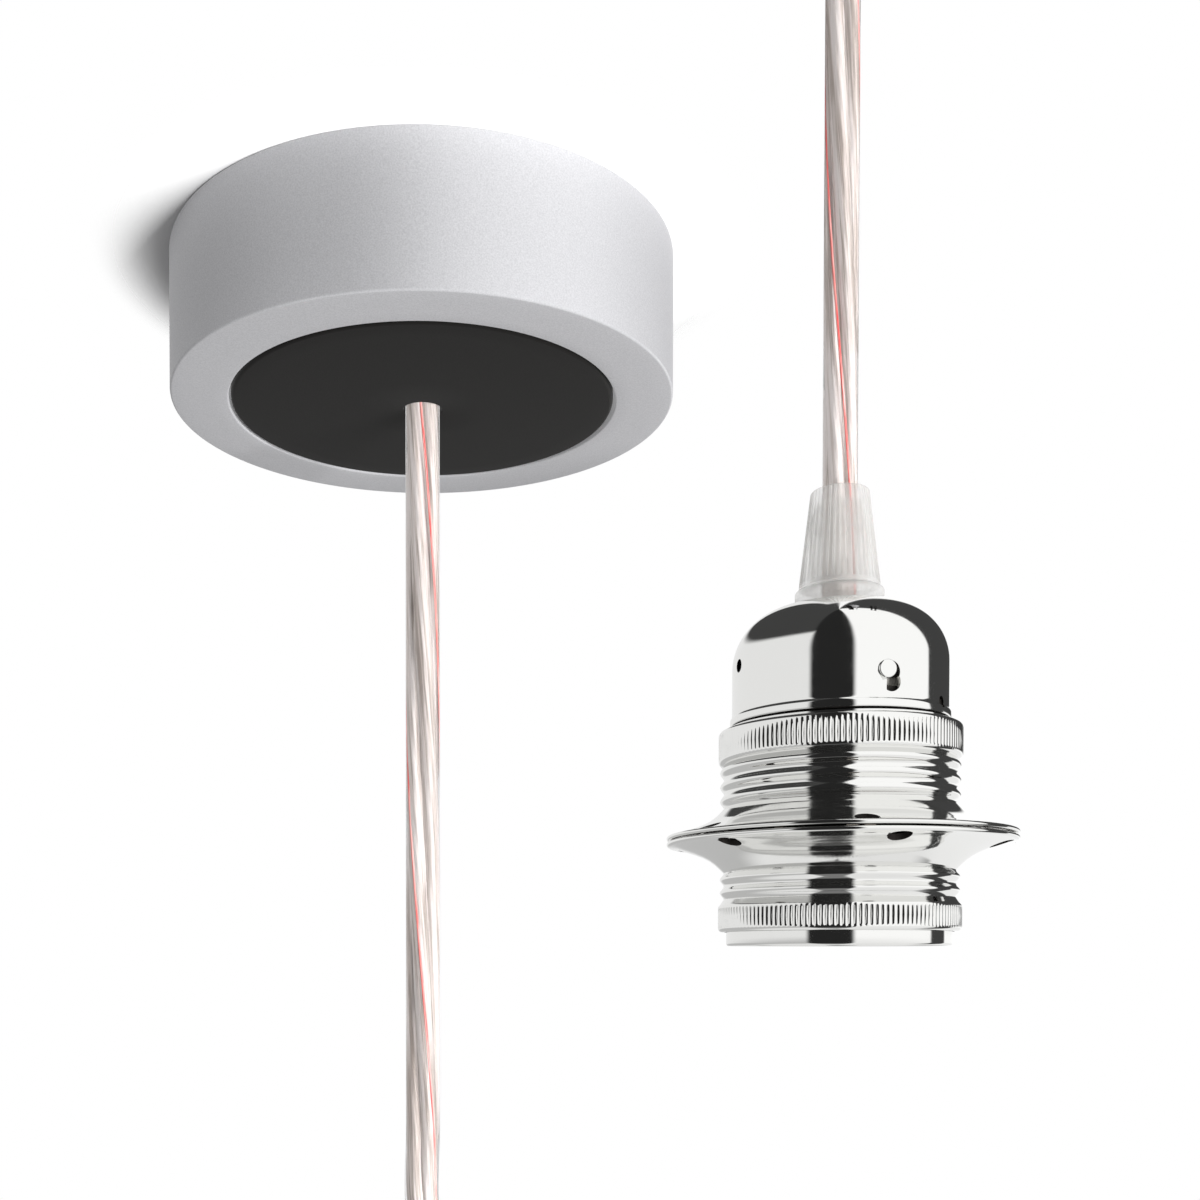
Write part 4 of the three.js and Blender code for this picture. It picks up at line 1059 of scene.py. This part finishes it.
upper_knurl = (upper_height - 5.0, upper_height - 1.9)
lower_knurl = (lower_height - 4.1, lower_height - 1.1)
RINGS = (
    ("shade_ring_upper", upper_height, upper_knurl, (6.0, CREST_PITCH, 3), 1, -6),
    ("shade_ring_lower", lower_height, lower_knurl, (5.9, CREST_PITCH * 0.92, 2), -1, 5),
)
for node_name, height, knurl, thread, sign, vent_turn in RINGS:
    ring = shade_ring(node_name + "_pressed", height, knurl, thread, sign, vent_turn)
    finish_piece(ring, chrome, "chrome_plate", node_name, sharp=50)
    give_second_finish(ring, steel_with_painted_shade, near_a_vent(vent_turn))

# %% [markdown]
# The sleeve is a turned tube with an outer thread that the rings run on. Its narrow neck goes up
# into the cap, and its mouth is rounded. The grooves stand in for the thread, without its pitch.

# %% Threaded sleeve
sleeve_bottom, sleeve_top = levels("threaded_sleeve")
SLEEVE_WALL = 0.9
neck_outer = cap_radius - CAP_WALL - 0.3
shoulder_z = -cap_height - 0.3
THREAD_PITCH = 2.5
GROOVE = THREAD_RADIUS - 0.35
MOUTH = SLEEVE_WALL / 2
thread_bottom = sleeve_bottom + 4.5
thread_count = int((shoulder_z - 1 - thread_bottom) / THREAD_PITCH)
sleeve_thread = []
for i in range(thread_count):
    z = thread_bottom + i * THREAD_PITCH
    sleeve_thread += [(THREAD_RADIUS, z), (THREAD_RADIUS, z + 0.9)]
    sleeve_thread += [(GROOVE, z + 1.3), (GROOVE, z + 2.1)]
sleeve_outline = (
    [(neck_outer - SLEEVE_WALL, sleeve_top), (neck_outer - SLEEVE_WALL, shoulder_z - SLEEVE_WALL)]
    + [(THREAD_RADIUS - SLEEVE_WALL, shoulder_z - SLEEVE_WALL)]
    + corner(THREAD_RADIUS - MOUTH, sleeve_bottom + MOUTH, MOUTH, 180, 360, 10)
    + [(THREAD_RADIUS, sleeve_bottom + 2)]
    + sleeve_thread
    + [(THREAD_RADIUS, shoulder_z), (neck_outer, shoulder_z), (neck_outer, sleeve_top)]
)
sleeve = spin_outline("threaded_sleeve_turned", sleeve_outline, 128, holder_x, cap_top)
finish_piece(sleeve, chrome, "chrome_plate", "threaded_sleeve", sharp=40)
neck_start = cap_top + (shoulder_z - 0.1) * MM
give_second_finish(sleeve, steel_with_painted_shade, lambda place: place.z > neck_start)

# %% [markdown]
# ## Inner pieces
# The solids of the inner pieces already have their true shape too, and each gets its finish by
# the name of its slot.

# %% Finishes on the inner pieces
FINISH_OF_SLOT = {
    "silver_powder_coat": silver,
    "black_satin_plastic": black,
    "zinc_plated_steel": zinc,
    "white_nylon": nylon,
    "brass": brass,
    "clear_pvc": strands,
    "chrome_plate": chrome,
    "frosted_plastic": frosted,
    "porcelain": porcelain,
    "liner_board": liner_board,
}
for entry in frame["record"]["subparts"]:
    if entry["node"] not in OWN_FINISH:
        dress(nodes[entry["node"]], FINISH_OF_SLOT[entry["material_slot"]])
print("finishes given:", len(FINISH_OF_SLOT))

# %% [markdown]
# The chrome reflects the studio alone, as if the holder stood on its own in it.

# %% Reflections
ROSE_REACH = 50 * MM  # whatever ends before it belongs to the rose
in_rose = [node for node in nodes.values() if max(v.co.x for v in node.data.vertices) < ROSE_REACH]
for piece in (rose_cup, cover_disc, sheath, *cores, *tracers, *in_rose):
    piece.visible_glossy = False
print("pieces of the rose:", len(in_rose))

# %% [markdown]
# ## Ceiling
# The rose hangs on a white ceiling. A small round patch of it catches the soft shadow and fades
# out around it. It has a hole over the cup, and from above it is clear, so the inside shows.

# %% Ceiling patch
PATCH_RADIUS = 60
PATCH_LOW = 0.05
PATCH_HIGH = 0.1
FADE_START = 45.5
patch_hole = rose_radius - 1.2
patch_outline = [(patch_hole, PATCH_LOW), (PATCH_RADIUS, PATCH_LOW)]
patch_outline += [(PATCH_RADIUS, PATCH_HIGH), (patch_hole, PATCH_HIGH)]
patch = spin_outline("stage_ceiling", patch_outline, 96)
body = bmesh.new()
body.from_mesh(patch.data)
upper_faces = [face for face in body.faces if face.normal.z > -0.5]
bmesh.ops.delete(body, geom=upper_faces, context="FACES")
body.to_mesh(patch.data)
body.free()

ceiling_white = bpy.data.materials.new("stage_ceiling_white")
ceiling_white.use_nodes = True
tree = ceiling_white.node_tree
tree.nodes.clear()
# It takes the light as if it faced the lamp, so that it is white wherever the lamp reaches.
facing_lamp = add_node(tree, "CombineXYZ", {"X": 0.45, "Y": -0.5, "Z": -0.74}).outputs["Vector"]
white = {"Color": colour("#ffffff")}
lit = add_node(tree, "BsdfDiffuse", white, {"Normal": facing_lamp}).outputs[0]
clear = add_node(tree, "BsdfTransparent").outputs[0]
place = add_node(tree, "TexCoord").outputs["Object"]
flat_place = add_node(
    tree, "VectorMath", {1: (1, 1, 0)}, {0: place}, operation="MULTIPLY"
).outputs["Vector"]
reach = add_node(tree, "VectorMath", links={0: flat_place}, operation="LENGTH").outputs["Value"]
fade = smooth_step(reach, FADE_START * MM, (PATCH_RADIUS - 1) * MM)
backface = add_node(tree, "NewGeometry").outputs["Backfacing"]
hidden_part = calculate("MAXIMUM", fade, backface)
mixed = add_node(tree, "MixShader", links={0: hidden_part, 1: lit, 2: clear}).outputs[0]
add_node(tree, "OutputMaterial", links={"Surface": mixed})
patch.data.materials.append(ceiling_white)
patch.visible_glossy = False

# %% [markdown]
# ## The studio
# The background is white for the camera and through clear things. Polished metal shows the studio
# around it: a bright wall on the right that reaches overhead, a darker one on the left under a
# dark ceiling, a pale floor, and two dark gaps between the walls, one in front and one at the far
# right. Soft surfaces get an even fill instead.

# %% World
WORLD_FILL = 0.26
LEFT_WALL = 0.86
RIGHT_WALL = 1.08
FAR_FLOOR_LEFT = 0.52
FAR_FLOOR_RIGHT = 0.92
NEAR_FLOOR = 0.85
FRONT_GAP = 0.02
OTHER_GAPS = 0.055
GAP_FLOOR = 0.2
# Spans in degrees around the studio, 0 in front and 90 at the right.
RIGHT_SIDE = (-8, 165)
FRONT_SPAN = (-45, 1)
RIGHT_SPAN = (90, 116)
HIGH_SPAN = (95, 152)
OVERHEAD_FROM = 47
OVERHEAD_LEAN = -0.13

world = bpy.data.worlds.new("studio")
world.use_nodes = True
tree = world.node_tree
tree.nodes.clear()


def step_up(value, middle, soft):
    """0 below the middle and 1 above it, over a soft edge."""
    return smooth_step(value, middle - soft / 2, middle + soft / 2)


def between(value, low, high, soft):
    """1 between two limits, with soft edges."""
    return calculate("SUBTRACT", step_up(value, low, soft), step_up(value, high, soft))


def blend(fac, first, second):
    """Goes from first to second as fac goes from 0 to 1."""
    made = add_node(tree, "Mix", data_type="FLOAT")
    for i, value in ((0, fac), (2, first), (3, second)):
        feed(made, i, value)
    return made.outputs[0]


def opposite(value):
    """1 less a value."""
    return calculate("SUBTRACT", 1.0, value)


direction = add_node(tree, "TexCoord").outputs["Generated"]
axes = add_node(tree, "SeparateXYZ", links={0: direction}).outputs
towards_camera = calculate("MULTIPLY", axes["Y"], -1.0)
turn = calculate("DEGREES", calculate("ARCTAN2", axes["X"], towards_camera))
height = calculate("DEGREES", calculate("ARCSINE", axes["Z"]))

right_side = between(turn, *RIGHT_SIDE, 6)
walls = blend(right_side, LEFT_WALL, RIGHT_WALL)
far_floor = blend(right_side, FAR_FLOOR_LEFT, FAR_FLOOR_RIGHT)
straight_down = opposite(step_up(height, -45, 20))
floor_tone = blend(straight_down, far_floor, NEAR_FLOOR)
room = blend(step_up(height, -5, 8), floor_tone, walls)
front_gap = between(turn, *FRONT_SPAN, 6)
high_gap = calculate("MULTIPLY", between(turn, *HIGH_SPAN, 4), step_up(height, 4, 8))
wide_gap = calculate("MAXIMUM", between(turn, *RIGHT_SPAN, 4), high_gap)
right_gap = calculate("MULTIPLY", wide_gap, opposite(straight_down))
# The dark overhead comes lower towards the back on the left.
leaning_height = calculate("MULTIPLY_ADD", turn, OVERHEAD_LEAN, height)
above = step_up(leaning_height, OVERHEAD_FROM, 6)
overhead = calculate("MULTIPLY", above, opposite(right_side))
gaps = calculate("MAXIMUM", calculate("MAXIMUM", front_gap, right_gap), overhead)
gap_tone = blend(straight_down, blend(front_gap, OTHER_GAPS, FRONT_GAP), GAP_FLOOR)
studio = blend(gaps, room, gap_tone)

path_kind = add_node(tree, "LightPath").outputs
seen_straight = calculate("MAXIMUM", path_kind["Is Camera Ray"], path_kind["Is Transmission Ray"])
soft_or_straight = blend(seen_straight, WORLD_FILL, 1.0)
strength = blend(path_kind["Is Glossy Ray"], soft_or_straight, studio)
background = add_node(tree, "Background", {"Color": (1, 1, 1, 1)}, {"Strength": strength})
add_node(tree, "OutputWorld", links={"Surface": background.outputs[0]})
bpy.context.scene.world = world
print("world nodes:", len(tree.nodes))

# %% [markdown]
# ## Lamp
# One large soft box stands at the right, in front and below. It models the rose from its bright
# right half to its darker left, and throws its shadow to the left.

# %% Soft box
LAMP_PLACE = Vector((0.59, -0.57, -0.36))
LAMP_TARGET = Vector((0, 0, -0.012))
LAMP_SIZE = 0.4
LAMP_WATTS = 9.7
bpy.ops.object.light_add(type="AREA", location=LAMP_PLACE)
soft_box = bpy.context.object
soft_box.name = soft_box.data.name = "soft_box"
soft_box.data.size = LAMP_SIZE
soft_box.data.energy = LAMP_WATTS
soft_box.rotation_euler = (LAMP_TARGET - LAMP_PLACE).to_track_quat("-Z", "Y").to_euler()
soft_box.visible_glossy = False  # the walls of the studio are what polished metal shows

# %% [markdown]
# Colours go to the picture as they are written, without a film look.

# %% Colour management
bpy.context.scene.view_settings.view_transform = "Standard"
